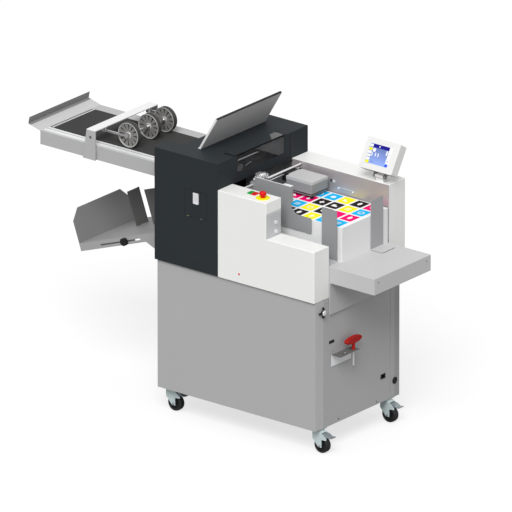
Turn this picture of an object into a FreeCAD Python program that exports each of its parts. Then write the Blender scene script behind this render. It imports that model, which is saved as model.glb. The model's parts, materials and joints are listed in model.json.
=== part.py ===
import FreeCAD, Part
import os
import Sketcher

# Paper folding and creasing machine on a castered cabinet, in millimetres.
# +Z is up, +X points to the feed table, -Y to the operator, and the floor is at Z = 0.
# Lengths along X and Y are counted from the cabinet's front left corner on the floor,
# which org_x and org_y place from the middle of the machine's footprint.

SIZES = {
    "origin": {"org_x": -167.5, "org_y": -313.0},
    "fits": {"run_fit": 0.05, "seam": 1.0, "air": 0.4, "seat": 0.2},
    "cabinet": {
        "cab_wide": 897.0, "cab_deep": 600.0, "cab_low": 113.0, "cab_top": 723.0,
        "cab_wall": 4.0, "cab_front": 4.0, "cab_inset": 5.0, "post_deep": 65.0,
        "panel_front": 61.5, "panel_back": "=cab_deep - post_deep", "panel_skin": 2.0,
        "panel_rim": 12.0, "door_thick": 2.0, "door_wrap": "=panel_front - door_gap",
        "door_gap": 1.5, "door_lift": 1.5, "plate_side": 58.0, "plate_thick": 5.0,
    },
    "door hinge": {
        "knuckle_r": 3.0, "knuckle_pin_r": 1.5, "knuckle_long": 25.0, "leaf_thick": 1.5,
        "leaf_wide": 16.0, "hinge_low": 200.0, "hinge_high": 620.0,
        "hinge_x": "=-knuckle_r", "hinge_y": "=door_wrap + hinge_gap", "hinge_gap": 0.5,
    },
    "latch": {
        "latch_y": 50.0, "latch_z": 665.0, "latch_stem_r": 5.0, "latch_disc_r": 17.0,
        "latch_disc_thick": 4.0, "latch_wing_high": 50.0, "latch_wing_wide": 12.0,
        "latch_wing_thick": 16.0, "latch_inner": 14.0, "cam_long": 22.0, "cam_wide": 12.0,
        "cam_thick": 4.0, "latch_slot_back": 82.0, "latch_slot_half": 26.0,
    },
    "inlet": {
        "inlet_in": 53.0, "inlet_y": "=panel_back - inlet_in", "inlet_z": 235.0,
        "inlet_wide": 29.0, "inlet_high": 18.0, "inlet_lip": 2.0, "inlet_rim": 2.0,
        "inlet_neck": 30.0, "inlet_socket_wide": 22.0, "inlet_socket_high": 13.0,
        "inlet_socket_deep": 20.0, "supply_long": 110.0, "supply_wide": 90.0,
        "supply_high": 150.0, "pin_r": 1.6, "pin_pitch": 6.0, "pin_long": 14.0,
    },
    "bracket": {
        "brk_y": 114.0, "brk_long": 138.0, "brk_low": 391.0, "brk_top": 447.0,
        "brk_reach": 52.0, "brk_thick": 3.0, "tool_out": 35.0,
        "tool_x": "=cab_wide + tool_out", "tool_y": 228.0, "tool_shaft_r": 4.0,
        "tool_tip_z": 370.0, "tool_neck_r": 8.0, "tool_grip_low": 481.0,
        "tool_grip_high": 36.0, "tool_grip_long": 88.0, "tool_grip_thick": 20.0,
        "tool_angle": 15.0, "spare_in": 24.0, "brk_spare_y": "=brk_y + spare_in",
    },
    "casters": {
        "cas_x": 32.0, "cas_pitch_x": "=cab_wide - 2 * cas_x", "cas_y": 58.0,
        "cas_pitch_y": "=cab_deep - 2 * cas_y", "cas_trail": 28.0, "wheel_r": 37.5,
        "wheel_wide": 31.0, "wheel_crown": 4.0, "axle_r": 5.0, "fork_half": 21.0,
        "fork_leg": 3.0, "fork_top": 100.0, "fork_slot_top": 96.0, "fork_back": 14.0,
        "fork_nose": 30.0, "fork_knee": 66.0, "fork_shin": 66.0, "fork_shin_out": 9.0,
        "fork_heel": 29.0, "fork_arm": 64.0, "fork_arm_low": 68.0, "fork_arm_top": 77.0,
        "swivel_r": 27.0, "swivel_top": 107.4, "stem_r": 8.0, "stem_deep": 4.6,
        "brake_x": 18.0, "brake_z": 88.0, "brake_pin_r": 3.0, "brake_half": 16.0,
        "brake_boss_r": 6.5, "brake_thick": 11.0, "brake_hump": 54.0, "brake_neck": 74.0,
        "brake_drop": 13.0, "brake_lip": 91.0, "brake_lip_rise": 6.0, "brake_lip_thick": 4.0,
    },
    "tower": {
        "tow_x": -9.0, "tow_y": -9.0, "tow_wide": 359.7, "tow_deep": 641.0,
        "tow_top": 1254.0, "tow_wall": 4.0, "hatch_x": 161.0, "hatch_wide": 128.0,
        "hatch_low": 971.0, "hatch_high": 128.0, "hatch_thick": 3.0,
        "notch_right": 76.0, "notch_front": 86.0, "notch_back": 553.0, "notch_low": 1052.0,
        "exit_front": 104.0, "exit_back": 512.0, "exit_low": 770.0, "exit_top": 860.0,
        "feed_front": 96.0, "feed_back": 516.0, "feed_low": 780.0, "feed_top": 1130.0,
        "win_wide": 62.7, "win_x": "=tow_x + tow_wide - win_wide", "win_front": 131.0,
        "win_back": 468.0, "win_drop": 84.0, "win_low": "=tow_top - win_drop",
        "win_round": 14.0, "win_hinge_r": 3.0, "win_hinge_in": 6.0,
        "win_hinge_x": "=win_x + win_hinge_in", "win_hinge_z": "=tow_top + win_hinge_r / 2",
    },
    "hatch latch": {
        "hatch_hinge_r": 3.0, "hatch_hinge_long": 14.0, "hatch_hinge_inset": 22.0,
        "paddle_in": 68.0, "paddle_x": "=hatch_x + paddle_in", "paddle_drop": 9.0,
        "paddle_top": "=hatch_low + hatch_high - paddle_drop", "paddle_wide": 31.0,
        "paddle_high": 52.0, "paddle_thick": 4.0, "paddle_round": 5.0, "paddle_dip": 1.5,
        "paddle_rim": 7.0, "paddle_pin_r": 1.5, "lug_wide": 3.0, "lug_out": 5.0,
        "lug_half": 3.0,
    },
    "lid": {
        "lid_angle": 59.2, "lid_axis_in": 173.4, "lid_axis_x": "=tow_x + lid_axis_in",
        "lid_axis_up": 5.1, "lid_axis_z": "=tow_top + lid_axis_up", "lid_front": 89.0,
        "lid_wide": 461.0, "lid_start": 1.0, "lid_long": 187.0, "lid_deep": 10.0,
        "lid_sheet": 2.0, "lid_pin_r": 3.0, "lid_tab": 6.0, "lid_tab_low": 3.4,
        "ear_long": 14.0, "ear_half": 5.0, "ear_inset": 24.0,
    },
    "inner frame": {
        "in_front": 86.0, "in_back": 524.0, "in_thick": 8.0, "in_left": 84.0,
        "in_side": 9.7, "in_right": "=tow_x + tow_wide - in_side", "in_gap": 16.0,
        "in_top": "=tow_top - in_gap", "tie_r": 8.0, "tie_left": 110.0, "tie_low": 760.0,
        "tie_in": 7.0, "tie_x": "=in_right - tie_in", "tie_down": 12.0,
        "tie_z": "=in_top - tie_down", "roll_in": 35.0, "roll_x": "=in_right - roll_in",
        "roll_down": 50.0, "roll_z": "=in_top - roll_down", "roll_r": 22.0,
        "roll_end": 6.0, "journal_r": 8.0, "crease_x": 232.0, "crease_down": 88.0,
        "crease_low": "=in_top - crease_down", "crease_high": 70.0, "crease_thick": 12.0,
        "crease_edge": 14.0, "crease_tongue": 4.0,
        "crease_slot": "=crease_low - crease_edge",
    },
    "front housing": {
        "hou_x": "=tow_x + tow_wide", "hou_over": 0.7,
        "hou_wide": "=cab_wide + hou_over - hou_x", "hou_y": -9.0, "hou_deep": 104.5,
        "hou_step": 275.8, "hou_step_x": "=hou_x + hou_step", "hou_top": 1132.0,
        "hou_ledge": 964.0, "hou_wall": 2.5, "hou_round": 3.0, "inset_high": 112.0,
        "inset_front": 8.0, "inset_back": 92.0, "inset_thick": 2.0,
    },
    "keys": {
        "estop_in": 58.5, "estop_x": "=hou_step_x - estop_in", "estop_y": 40.0,
        "estop_disc_r": 31.5, "estop_disc_high": 3.0, "estop_stem_r": 10.0,
        "estop_stem_high": 16.0, "estop_cap_r": 16.0, "estop_cap_high": 15.0,
        "estop_crown": 7.5, "key_reach": 90.0, "key_x": "=estop_x - key_reach",
        "key_y": 41.0, "key_wide": 20.0, "key_deep": 32.0, "key_gap": 3.0, "key_rise": 5.0,
        "key_stem": 10.0, "side_key_y": 57.0, "upper_key_up": 63.0,
        "side_key_upper": "=hou_ledge + upper_key_up", "lower_key_up": 21.0,
        "side_key_lower": "=hou_ledge + lower_key_up", "side_key_r": 9.5,
        "side_key_rise": 5.0, "side_key_stem": 9.0, "side_key_lip": 2.5,
    },
    "rear housing": {
        "pile_gap": 9.0, "rear_y": "=pile_y + pile_wide + pile_gap", "rear_over": 4.0,
        "rear_wide": "=cab_wide + rear_over - hou_x", "rear_proud": 3.0,
        "rear_deep": "=tow_y + tow_deep + rear_proud - rear_y",
        "rear_top": 1132.0, "disp_in": 156.0, "disp_low_x": "=cab_wide - disp_in",
        "stem_in": 79.0, "stem_x": "=disp_low_x + stem_in", "stem_wide": 44.0,
        "stem_thick": 3.0, "stem_foot": 40.0, "disp_pin_y": 40.0, "disp_pin_drop": 12.0,
        "disp_out": 16.0, "disp_low_y": "=rear_y - disp_out", "disp_up": 56.0,
        "disp_low_z": "=rear_top + disp_up", "disp_wide": 186.0, "disp_high": 144.0,
        "disp_deep": 46.0, "disp_angle": 30.5, "disp_round": 6.0, "screen_wide": 125.0,
        "screen_high": 97.0, "screen_deep": 1.5, "screen_side": 22.0, "screen_low": 32.0,
        "disp_lug": 12.0, "disp_lug_wide": 26.0, "disp_lug_r": 9.0, "disp_pin_r": 4.0,
    },
    "table": {
        "tab_in": 54.3, "tab_x": "=hou_x + tab_in", "tab_over": 246.0,
        "tab_end": "=pile_x + pile_long + tab_over", "tab_y": 97.5, "tab_back_gap": 14.5,
        "tab_wide": "=rear_y - tab_y - tab_back_gap", "tab_high": 74.5,
        "tab_low": "=tab_top - tab_high", "tab_top": 866.5, "tab_wall": 2.5,
        "apron_gap": 2.0, "apron_x": "=cab_wide + apron_gap", "apron_thick": 6.0,
        "apron_low": 642.0, "apron_y": 94.0, "apron_wide": 422.0, "post_r": 10.0,
        "post_x": 560.0, "post_front": 160.0, "post_back": 440.0, "post_low": 520.0,
        "yoke_high": 20.0, "yoke_half": 16.0, "bush_r": 18.0, "bush_low": 690.0,
    },
    "stack": {
        "pile_in": 22.0, "pile_x": "=rod_x + pile_in", "pile_long": 480.0,
        "pile_y": 177.0, "pile_wide": 330.0, "pile_high": 161.0, "pile_round": 4.0,
    },
    "stops": {
        "stop_sheet": 2.0, "side_stop_in": 107.0,
        "side_stop_x": "=pile_x + pile_long - side_stop_in", "side_stop_long": 85.0,
        "side_stop_gap": 9.0, "side_stop_y": "=pile_y - side_stop_gap",
        "side_stop_top": 1106.0, "side_stop_foot": 44.0, "end_stop_gap": 1.5,
        "end_stop_x": "=pile_x + pile_long + end_stop_gap", "end_stop_in": 127.0,
        "end_stop_y": "=pile_y + pile_wide - end_stop_in", "end_stop_wide": 87.0,
        "end_stop_top": 1100.0, "end_stop_foot": 66.0, "foot_round": 10.0,
    },
    "guide": {
        "rod_in": 53.3, "rod_x": "=hou_x + rod_in", "rod_up": 10.0,
        "rod_z": "=head_top + rod_up", "rod_r": 6.0, "thin_rod_r": 3.0,
        "thin_rod_drop": 15.0, "gui_in": 14.0, "gui_x": "=rod_x + gui_in",
        "gui_gap": 7.0, "gui_y": "=pile_y - gui_gap", "gui_sheet": 2.0, "gui_up": 43.0,
        "gui_top": "=rod_z + gui_up", "gui_long": 204.0, "gui_right": "=gui_x + gui_long",
        "gui_flat": 70.0, "gui_ext": "=gui_right + gui_bow + gui_flat", "gui_low": 965.0,
        "gui_bow": 46.0, "gui_over": 9.5, "gui_step": "=tab_top + pile_high + gui_over",
        "gui_flange": 16.0, "clamp_out": 14.0, "clamp_left": "=rod_x - clamp_out",
        "clamp_in": 22.0, "clamp_right": "=rod_x + clamp_in", "clamp_deep": 84.0,
        "clamp_down": 24.0, "clamp_low": "=rod_z - clamp_down", "clamp_up": 12.0,
        "clamp_top": "=rod_z + clamp_up", "knob_r": 24.0, "knob_high": 20.0,
        "knob_neck_r": 14.0, "knob_neck": 6.0, "knob_stem_r": 5.0, "knob_back": 66.0,
        "knob_lever": 46.0, "knob_lever_r": 4.0,
    },
    "feed head": {
        "head_in": 5.0, "head_x": "=pile_x + head_in", "head_long": 150.0,
        "head_in_y": 141.0, "head_y": "=rear_y - head_in_y", "head_wide": 114.0,
        "head_up": 24.5,
        "head_low": "=tab_top + pile_high + head_up", "head_high": 56.0,
        "head_top": "=head_low + head_high", "head_draw": 5.0, "head_lip": 3.0,
        "head_lip_gap": 12.0, "head_post": 30.0, "carrier_out": 10.0,
        "carrier_left": "=rod_x - carrier_out", "carrier_in": 9.0,
        "carrier_right": "=head_x + carrier_in", "carrier_step": 20.0,
        "carrier_y": "=head_y + carrier_step",
        "carrier_wide": 74.0, "carrier_up": 20.0, "carrier_low": "=head_low + carrier_up",
        "carrier_top": "=rod_z - rod_r",
    },
    "conveyor": {
        "con_left": -746.0, "con_right": 60.0, "con_front": 98.0, "con_back": 520.0,
        "con_low": 1064.0, "con_top": 1130.0, "con_web": 3.0, "con_ledge": 60.0,
        "con_rear_ledge": 64.0, "con_foot": 20.0, "beam_high": 12.0, "beam_wide": 40.0,
        "beam_left_in": 106.0, "beam_left": "=con_left + beam_left_in",
        "beam_right_in": 120.0, "beam_right": "=con_right - beam_right_in",
        "belt_left_in": 23.0, "belt_left": "=con_left + belt_left_in",
        "belt_right_in": 4.0, "belt_right": "=con_right - belt_right_in",
        "belt_thick": 2.0, "belt_r": 25.0, "belt_up": 2.7, "belt_top": "=con_top + belt_up",
        "belt_side": 1.0, "drum_play": 0.35, "drum_journal_r": 8.0, "nose_r": 20.0,
        "flap_out": 71.0, "flap_rise": 19.0, "flap_sheet": 2.0, "flap_over": 3.0,
        "flap_front": "=con_front - flap_over", "flap_back_over": 1.0,
        "flap_back": "=con_back + flap_back_over", "flap_lip": 30.0, "flap_lip_in": 6.0,
    },
    "bridge": {
        "bri_wide": 50.0, "bri_left": "=bri_right - bri_wide", "bri_right": -425.0,
        "bri_flare": 22.0, "bri_out": 11.0, "bri_front": "=con_front - bri_out",
        "bri_leg": 5.0, "bri_top": 1204.0, "bri_drop": 2.0, "bri_low": "=con_low - bri_drop",
        "bri_hole_r": 4.0, "bri_hole_in": 18.0, "bri_hole_down": 36.0,
        "shoe_down": 8.0, "shoe_high": 24.0, "bri_lug": 6.0, "arm_in": 9.0,
        "arm_x": "=bri_right - arm_in", "arm_down": 16.0, "arm_z": "=bri_top - arm_down",
        "arm_front": 151.0, "arm_back": 474.0, "arm_thick": 7.0, "arm_half": 4.5,
        "arm_pin_r": 4.0, "arm_pin_over": 9.0, "press_out": 134.0,
        "press_x": "=arm_x + press_out", "press_r": 58.0, "press_wide": 27.0,
        "press_shaft_r": 7.0, "press_first": 177.0, "press_second": 320.0,
        "press_third": 430.0, "press_rim": 6.0, "press_hub_r": 15.0, "press_web": 8.0,
        "press_slot_in": 22.0, "press_slot_out": 44.0, "press_slot_wide": 7.0,
        "press_slots": 12, "press_collar_r": 11.0, "press_collar": 5.0,
    },
    "tray": {
        "tray_x": -535.0, "tray_z": 635.0, "tray_angle": 19.6, "tray_front": 107.0,
        "tray_wide": 402.0, "tray_sheet": 2.0, "tray_long": 556.0, "tray_wall": 157.0,
        "tray_chamfer": 50.0, "tray_skirt": 33.5, "skirt_end": 394.0, "tongue_start": 436.0,
        "tongue_drop": 71.5, "tongue_trim": 30.0, "hook_low": 745.0, "hook_top": 800.0,
        "hook_long": 36.0, "hook_wing": 18.0, "hook_thick": 3.0, "slot_from": 123.0,
        "slot_to": 365.0, "slot_down": 18.0, "slot_half": 3.5, "runner_from": 60.0,
        "runner_to": 300.0, "runner_front": 236.0, "runner_back": 290.0,
        "runner_half": 4.0, "fence_from": 270.0, "fence_to": 440.0, "fence_y": 213.0,
        "fence_high": 145.0,
    },
    "tray stop": {
        "gate_x": 159.0, "gate_front": 221.0, "gate_wide": 84.0, "gate_high": 161.0,
        "gate_bar": 6.0, "gate_drop": 14.0, "gate_stud_x": 273.0, "gate_stud_r": 3.0,
        "gate_stud_out": 11.0, "gate_arm_half": 9.0, "gate_arm_down": 24.0,
        "gate_tongue": 12.0, "gate_knob_r": 18.0, "gate_knob_thick": 14.0,
    },
}

DOC = FreeCAD.newDocument("folding_machine")
PARTS = {}

PLANES = {"XY": "XY_Plane", "XZ": "XZ_Plane", "YZ": "YZ_Plane"}
ORIGIN = -1
ACROSS = FreeCAD.Vector(0, 1, 0)
ALONG = FreeCAD.Vector(1, 0, 0)
UPWARD = FreeCAD.Vector(0, 0, 1)
QUARTER = 90
FULL_TURN = 360
TINY = 1e-3


def fill_sheet():
    """Write every driving dimension into the spreadsheet under its alias."""
    sheet = DOC.addObject("Spreadsheet::Sheet", "Dim")
    cells = {}
    row = 1
    for group, sizes in SIZES.items():
        sheet.set(f"A{row}", group)
        row += 1
        for alias, value in sizes.items():
            sheet.set(f"A{row}", alias)
            sheet.setAlias(f"B{row}", alias)
            cells[f"B{row}"] = str(value)
            row += 1
    for cell, content in cells.items():
        sheet.set(cell, content)
    DOC.recompute()
    return sheet


SHEET = fill_sheet()


def dim(alias):
    """Read one driving dimension as a number."""
    return float(SHEET.get(alias))


def place(thing, x_text, y_text, z_text):
    """Put a piece at a point counted from the cabinet's front left corner."""
    thing.setExpression("Placement.Base.x", f"Dim.org_x + ({x_text})")
    thing.setExpression("Placement.Base.y", f"Dim.org_y + ({y_text})")
    thing.setExpression("Placement.Base.z", z_text)
    return thing


def shift(thing, x_text, y_text, z_text):
    """Put a piece at a point counted from its own assembly's corner."""
    for key, text in zip("xyz", (x_text, y_text, z_text)):
        thing.setExpression(f"Placement.Base.{key}", text)
    return thing


def turn(thing, axis, angle_text):
    """Turn a piece about an axis through its own placement point."""
    thing.Placement.Rotation = FreeCAD.Rotation(axis, 1)
    thing.setExpression("Placement.Rotation.Angle", angle_text)
    return thing


def box(name, size, corner, put=place):
    """Block given by its three lengths and its low corner."""
    solid = DOC.addObject("Part::Box", name)
    for prop, text in zip(("Length", "Width", "Height"), size):
        solid.setExpression(prop, text)
    return put(solid, *corner)


def span(name, low, high, put=place):
    """Block given by its low and high corners."""
    size = [f"({b}) - ({a})" for a, b in zip(low, high)]
    return box(name, size, low, put)


def rod(name, radius, length, start, way, put=place):
    """Cylinder that starts at a point and runs along +X, +Y or +Z."""
    solid = DOC.addObject("Part::Cylinder", name)
    solid.setExpression("Radius", radius)
    solid.setExpression("Height", length)
    turns = {
        "X": FreeCAD.Rotation(ACROSS, QUARTER),
        "Y": FreeCAD.Rotation(ALONG, -QUARTER),
        "Z": FreeCAD.Rotation(),
    }
    solid.Placement.Rotation = turns[way]
    return put(solid, *start)


def join(name, pieces):
    """Weld several solids into one piece."""
    fused = DOC.addObject("Part::MultiFuse", name)
    fused.Shapes = pieces
    fused.Refine = True
    return fused


def cut(name, base, tools):
    """Take one or more solids away from a base."""
    tool = tools[0] if len(tools) == 1 else join(f"{name}_tools", tools)
    result = DOC.addObject("Part::Cut", name)
    result.Base = base
    result.Tool = tool
    result.Refine = True
    return result


def keep(name, thing):
    """Name a finished piece and list it for export."""
    thing.Label = name
    PARTS[name] = thing
    return thing


def new_body(name):
    """Start a body built by sketched features."""
    return DOC.addObject("PartDesign::Body", f"{name}_body")


def plane_of(body, plane):
    """Find one of the body's own origin planes."""
    for feature in body.Origin.OriginFeatures:
        if feature.Role == PLANES[plane]:
            return feature
    raise ValueError(f"{body.Name} has no plane {plane}")


def axis_of(body, role):
    """Find one of the body's own origin axes."""
    for feature in body.Origin.OriginFeatures:
        if feature.Role == role:
            return feature
    raise ValueError(f"{body.Name} has no axis {role}")


def tie_point(sketch, edge, point, x_text, y_text):
    """Hold one sketch point at distances taken from the sheet."""
    for kind, text, axis in (("DistanceX", x_text, -2), ("DistanceY", y_text, -1)):
        if text == "0":
            sketch.addConstraint(Sketcher.Constraint("PointOnObject", edge, point, axis))
            continue
        index = sketch.addConstraint(
            Sketcher.Constraint(kind, ORIGIN, 1, edge, point, 1.0)
        )
        sketch.setExpression(f"Constraints[{index}]", text)


def add_polygon(sketch, points):
    """Add a closed outline whose corners are held by the sheet."""
    count = len(points)
    first = sketch.GeometryCount
    spots = []
    for number in range(count):
        way = FreeCAD.Rotation(UPWARD, FULL_TURN * number / count)
        spots.append(way.multVec(FreeCAD.Vector(count, 0, 0)))
    for number in range(count):
        line = Part.LineSegment(spots[number], spots[(number + 1) % count])
        sketch.addGeometry(line, False)
    for number in range(count):
        following = first + (number + 1) % count
        joint = Sketcher.Constraint("Coincident", first + number, 2, following, 1)
        sketch.addConstraint(joint)
    for number, (x_text, y_text) in enumerate(points):
        tie_point(sketch, first + number, 1, x_text, y_text)


def add_circle(sketch, x_text, y_text, radius_text):
    """Add a circle whose centre and radius are held by the sheet."""
    ring = Part.Circle(FreeCAD.Vector(1, 1, 0), UPWARD, 1)
    edge = sketch.addGeometry(ring, False)
    tie_point(sketch, edge, 3, x_text, y_text)
    index = sketch.addConstraint(Sketcher.Constraint("Radius", edge, 1.0))
    sketch.setExpression(f"Constraints[{index}]", radius_text)


def sketch_on(body, plane, loops, offset=None):
    """Draw loops on one of the body's origin planes, set off along its normal."""
    sketch = body.newObject("Sketcher::SketchObject", f"{body.Name}_outline")
    sketch.AttachmentSupport = [(plane_of(body, plane), "")]
    sketch.MapMode = "FlatFace"
    if offset is not None:
        sketch.setExpression("AttachmentOffset.Base.z", offset)
    for loop in loops:
        if isinstance(loop[0], str):
            add_circle(sketch, *loop)
        else:
            add_polygon(sketch, loop)
    return sketch


def rect(left, low, right, top):
    """Corners of an upright rectangle."""
    return [(left, low), (right, low), (right, top), (left, top)]


def pad(body, sketch, depth, backward=False, middle=False):
    """Raise a sketch into solid material."""
    feature = body.newObject("PartDesign::Pad", f"{body.Name}_pad")
    feature.Profile = sketch
    feature.setExpression("Length", depth)
    feature.Reversed = backward
    feature.Midplane = middle
    body.Tip = feature
    return feature


def pocket(body, sketch, depth, backward=False):
    """Sink a sketch into the material; depth None goes right through."""
    feature = body.newObject("PartDesign::Pocket", f"{body.Name}_pocket")
    feature.Profile = sketch
    if depth is None:
        feature.Type = "ThroughAll"
    else:
        feature.setExpression("Length", depth)
    feature.Reversed = backward
    feature.Midplane = False
    body.Tip = feature
    return feature


def pocket_both(body, sketch):
    """Cut a sketch right through the material on both sides of its plane."""
    feature = pocket(body, sketch, None)
    feature.Midplane = True
    return feature


def round_edges(body, base, radius, wanted):
    """Round the straight edges of a feature that a test picks out."""
    DOC.recompute()
    names = []
    for number, edge in enumerate(base.Shape.Edges, start=1):
        if edge.Curve.TypeId == "Part::GeomLine" and wanted(edge):
            names.append(f"Edge{number}")
    if not names:
        raise ValueError(f"{body.Name} has no edge to round")
    feature = body.newObject("PartDesign::Fillet", f"{body.Name}_round")
    feature.Base = (base, names)
    feature.setExpression("Radius", radius)
    body.Tip = feature
    return feature


def runs_along(edge, axis):
    """Tell whether an edge is parallel to an axis."""
    return edge.Curve.Direction.cross(axis).Length < TINY


def sheet_piece(name, plane, loops, thickness, backward=False):
    """Flat piece: one sketch with its holes, raised by the sheet thickness."""
    body = new_body(name)
    pad(body, sketch_on(body, plane, loops), thickness, backward)
    return body


def hinge_levels():
    """Lower ends of the two lift-off hinges of the front door."""
    return "Dim.hinge_low", "Dim.hinge_high"


def hinge_half(name, low, leaf_y):
    """Leaf and knuckle of one half of a lift-off hinge."""
    leaf = box(
        f"{name}_leaf", ("Dim.leaf_thick", "Dim.leaf_wide", "Dim.knuckle_long"),
        ("-Dim.leaf_thick", leaf_y, low),
    )
    knuckle = rod(
        f"{name}_knuckle", "Dim.knuckle_r", "Dim.knuckle_long",
        ("Dim.hinge_x", "Dim.hinge_y", low), "Z",
    )
    return [leaf, knuckle]


def cabinet_shell():
    """Cabinet with the fixed halves and pins of the door hinges."""
    pieces = [cabinet()]
    for number, low in enumerate(hinge_levels()):
        pieces += hinge_half(f"shell_hinge_{number}", low, "Dim.hinge_y")
        pieces.append(
            rod(
                f"shell_hinge_{number}_pin", "Dim.knuckle_pin_r", "2 * Dim.knuckle_long",
                ("Dim.hinge_x", "Dim.hinge_y", low), "Z",
            )
        )
    return join("cabinet_shell_piece", pieces)


def cabinet():
    """Welded cabinet: floor, deck, back and side walls, open behind the door."""
    body = new_body("cabinet")
    wide = "(Dim.cab_wide - 2 * Dim.cab_inset)"
    deep = "(Dim.cab_deep - Dim.cab_front)"
    high = "(Dim.cab_top - Dim.cab_low)"
    pad(body, sketch_on(body, "XY", [rect("0", "0", wide, deep)]), high)
    wall = "Dim.cab_wall"
    bay = rect(wall, wall, f"{wide} - {wall}", f"{high} - {wall}")
    pocket(body, sketch_on(body, "XZ", [bay]), f"{deep} - Dim.cab_wall")
    post = rect("Dim.panel_back - Dim.cab_front", "0", deep, high)
    pad(body, sketch_on(body, "YZ", [post], wide), "Dim.cab_inset")
    skin = rect("Dim.panel_front - Dim.cab_front", "0", deep, high)
    pad(body, sketch_on(body, "YZ", [skin]), "Dim.cab_inset", True)
    half = "Dim.plate_side / 2"
    plates = []
    sockets = []
    for _, _, y_at, x_at in caster_spots():
        x_text = f"{x_at} - Dim.cab_inset"
        y_text = f"{y_at} - Dim.cab_front"
        left = f"{x_text} - {half}"
        plates.append(rect(left, f"{y_text} - {half}", f"{x_text} + {half}", f"{y_text} + {half}"))
        sockets.append((x_text, y_text, "Dim.stem_r + Dim.run_fit"))
    pad(body, sketch_on(body, "XY", plates), "Dim.plate_thick", True)
    pocket(body, sketch_on(body, "XY", sockets, "-Dim.plate_thick"), "Dim.plate_thick", True)
    posts = []
    for y_text in ("Dim.post_front - Dim.cab_front", "Dim.post_back - Dim.cab_front"):
        posts.append(("Dim.post_x - Dim.cab_inset", y_text))
    collars = [(x_text, y_text, "Dim.bush_r") for x_text, y_text in posts]
    bores = [(x_text, y_text, "Dim.post_r + Dim.run_fit") for x_text, y_text in posts]
    bush_long = f"{high} - (Dim.bush_low - Dim.cab_low)"
    pad(body, sketch_on(body, "XY", collars, high), bush_long, True)
    pocket(body, sketch_on(body, "XY", bores, high), bush_long)
    window = inlet_window("Dim.cab_front")
    pocket(body, sketch_on(body, "YZ", [window], wide), wall)
    slot_low = "Dim.latch_z - Dim.latch_slot_half - Dim.cab_low"
    slot_high = f"{slot_low} + 2 * Dim.latch_slot_half"
    slot = rect("0", slot_low, "Dim.latch_slot_back - Dim.cab_front", slot_high)
    pocket(body, sketch_on(body, "YZ", [slot], wide), wall)
    return place(body, "Dim.cab_inset", "Dim.cab_front", "Dim.cab_low")


def inlet_window(front, border="0"):
    """Opening for the mains inlet, counted from a front edge and the cabinet bottom."""
    left = f"Dim.inlet_y - Dim.inlet_wide / 2 - {front} - {border}"
    low = f"Dim.inlet_z - Dim.inlet_high / 2 - Dim.cab_low - {border}"
    right = f"{left} + Dim.inlet_wide + 2 * {border}"
    return rect(left, low, right, f"{low} + Dim.inlet_high + 2 * {border}")


def side_panel():
    """Right side panel with the tool bracket riveted to it."""
    body = new_body("side_panel")
    wide = "(Dim.panel_back - Dim.seam - Dim.panel_front)"
    high = "(Dim.cab_top - Dim.cab_low)"
    window = inlet_window("Dim.panel_front")
    pad(body, sketch_on(body, "YZ", [rect("0", "0", wide, high), window]), "Dim.cab_inset")
    rim = "Dim.panel_rim"
    back = rect(rim, rim, f"{wide} - {rim}", f"{high} - {rim}")
    lip = inlet_window("Dim.panel_front", f"{rim} / 2")
    pocket(body, sketch_on(body, "YZ", [back, lip]), "Dim.cab_inset - Dim.panel_skin", True)
    place(body, "Dim.cab_wide - Dim.cab_inset", "Dim.panel_front", "Dim.cab_low")
    face = "Dim.cab_wide"
    end = "Dim.brk_y + Dim.brk_long"
    upright = span(
        "bracket_upright", (face, "Dim.brk_y", "Dim.brk_low"),
        (f"{face} + Dim.brk_thick", end, "Dim.brk_top"),
    )
    shelf = span(
        "bracket_shelf", (face, "Dim.brk_y", "Dim.brk_top - Dim.brk_thick"),
        (f"{face} + Dim.brk_reach", end, "Dim.brk_top"),
    )
    holes = []
    for number, y_text in enumerate(("Dim.tool_y", "Dim.brk_spare_y")):
        holes.append(
            rod(
                f"bracket_hole_{number}", "Dim.tool_shaft_r + Dim.air", "Dim.brk_reach",
                ("Dim.tool_x", y_text, "Dim.brk_top - Dim.brk_reach / 2"), "Z",
            )
        )
    bracket = cut("bracket", join("bracket_sheet", [upright, shelf]), holes)
    return join("side_panel_piece", [body, bracket])


def cabinet_door():
    """Front door that wraps round both corners of the cabinet."""
    wide = "Dim.cab_wide"
    wrap = "Dim.door_wrap"
    thick = "Dim.door_thick"
    outline = [
        ("0", "0"), (wide, "0"), (wide, wrap), (f"{wide} - {thick}", wrap),
        (f"{wide} - {thick}", thick), (thick, thick), (thick, wrap), ("0", wrap),
    ]
    body = new_body("door")
    pad(
        body, sketch_on(body, "XY", [outline]),
        "Dim.cab_top - Dim.cab_low - 2 * Dim.door_lift",
    )
    hole = (
        "Dim.latch_y", "Dim.latch_z - Dim.cab_low - Dim.door_lift",
        "Dim.latch_stem_r + Dim.run_fit",
    )
    pocket(body, sketch_on(body, "YZ", [hole], wide), "2 * Dim.door_thick")
    place(body, "0", "0", "Dim.cab_low + Dim.door_lift")
    pieces = [body]
    bores = []
    for number, level in enumerate(hinge_levels()):
        low = f"{level} + Dim.knuckle_long + Dim.air"
        pieces += hinge_half(f"door_hinge_{number}", low, "Dim.hinge_y - Dim.leaf_wide")
        bores.append(
            rod(
                f"door_hinge_{number}_bore", "Dim.knuckle_pin_r + Dim.run_fit",
                "3 * Dim.knuckle_long", ("Dim.hinge_x", "Dim.hinge_y", level), "Z",
            )
        )
    return cut("cabinet_door_piece", join("door_solid", pieces), bores)


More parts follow.
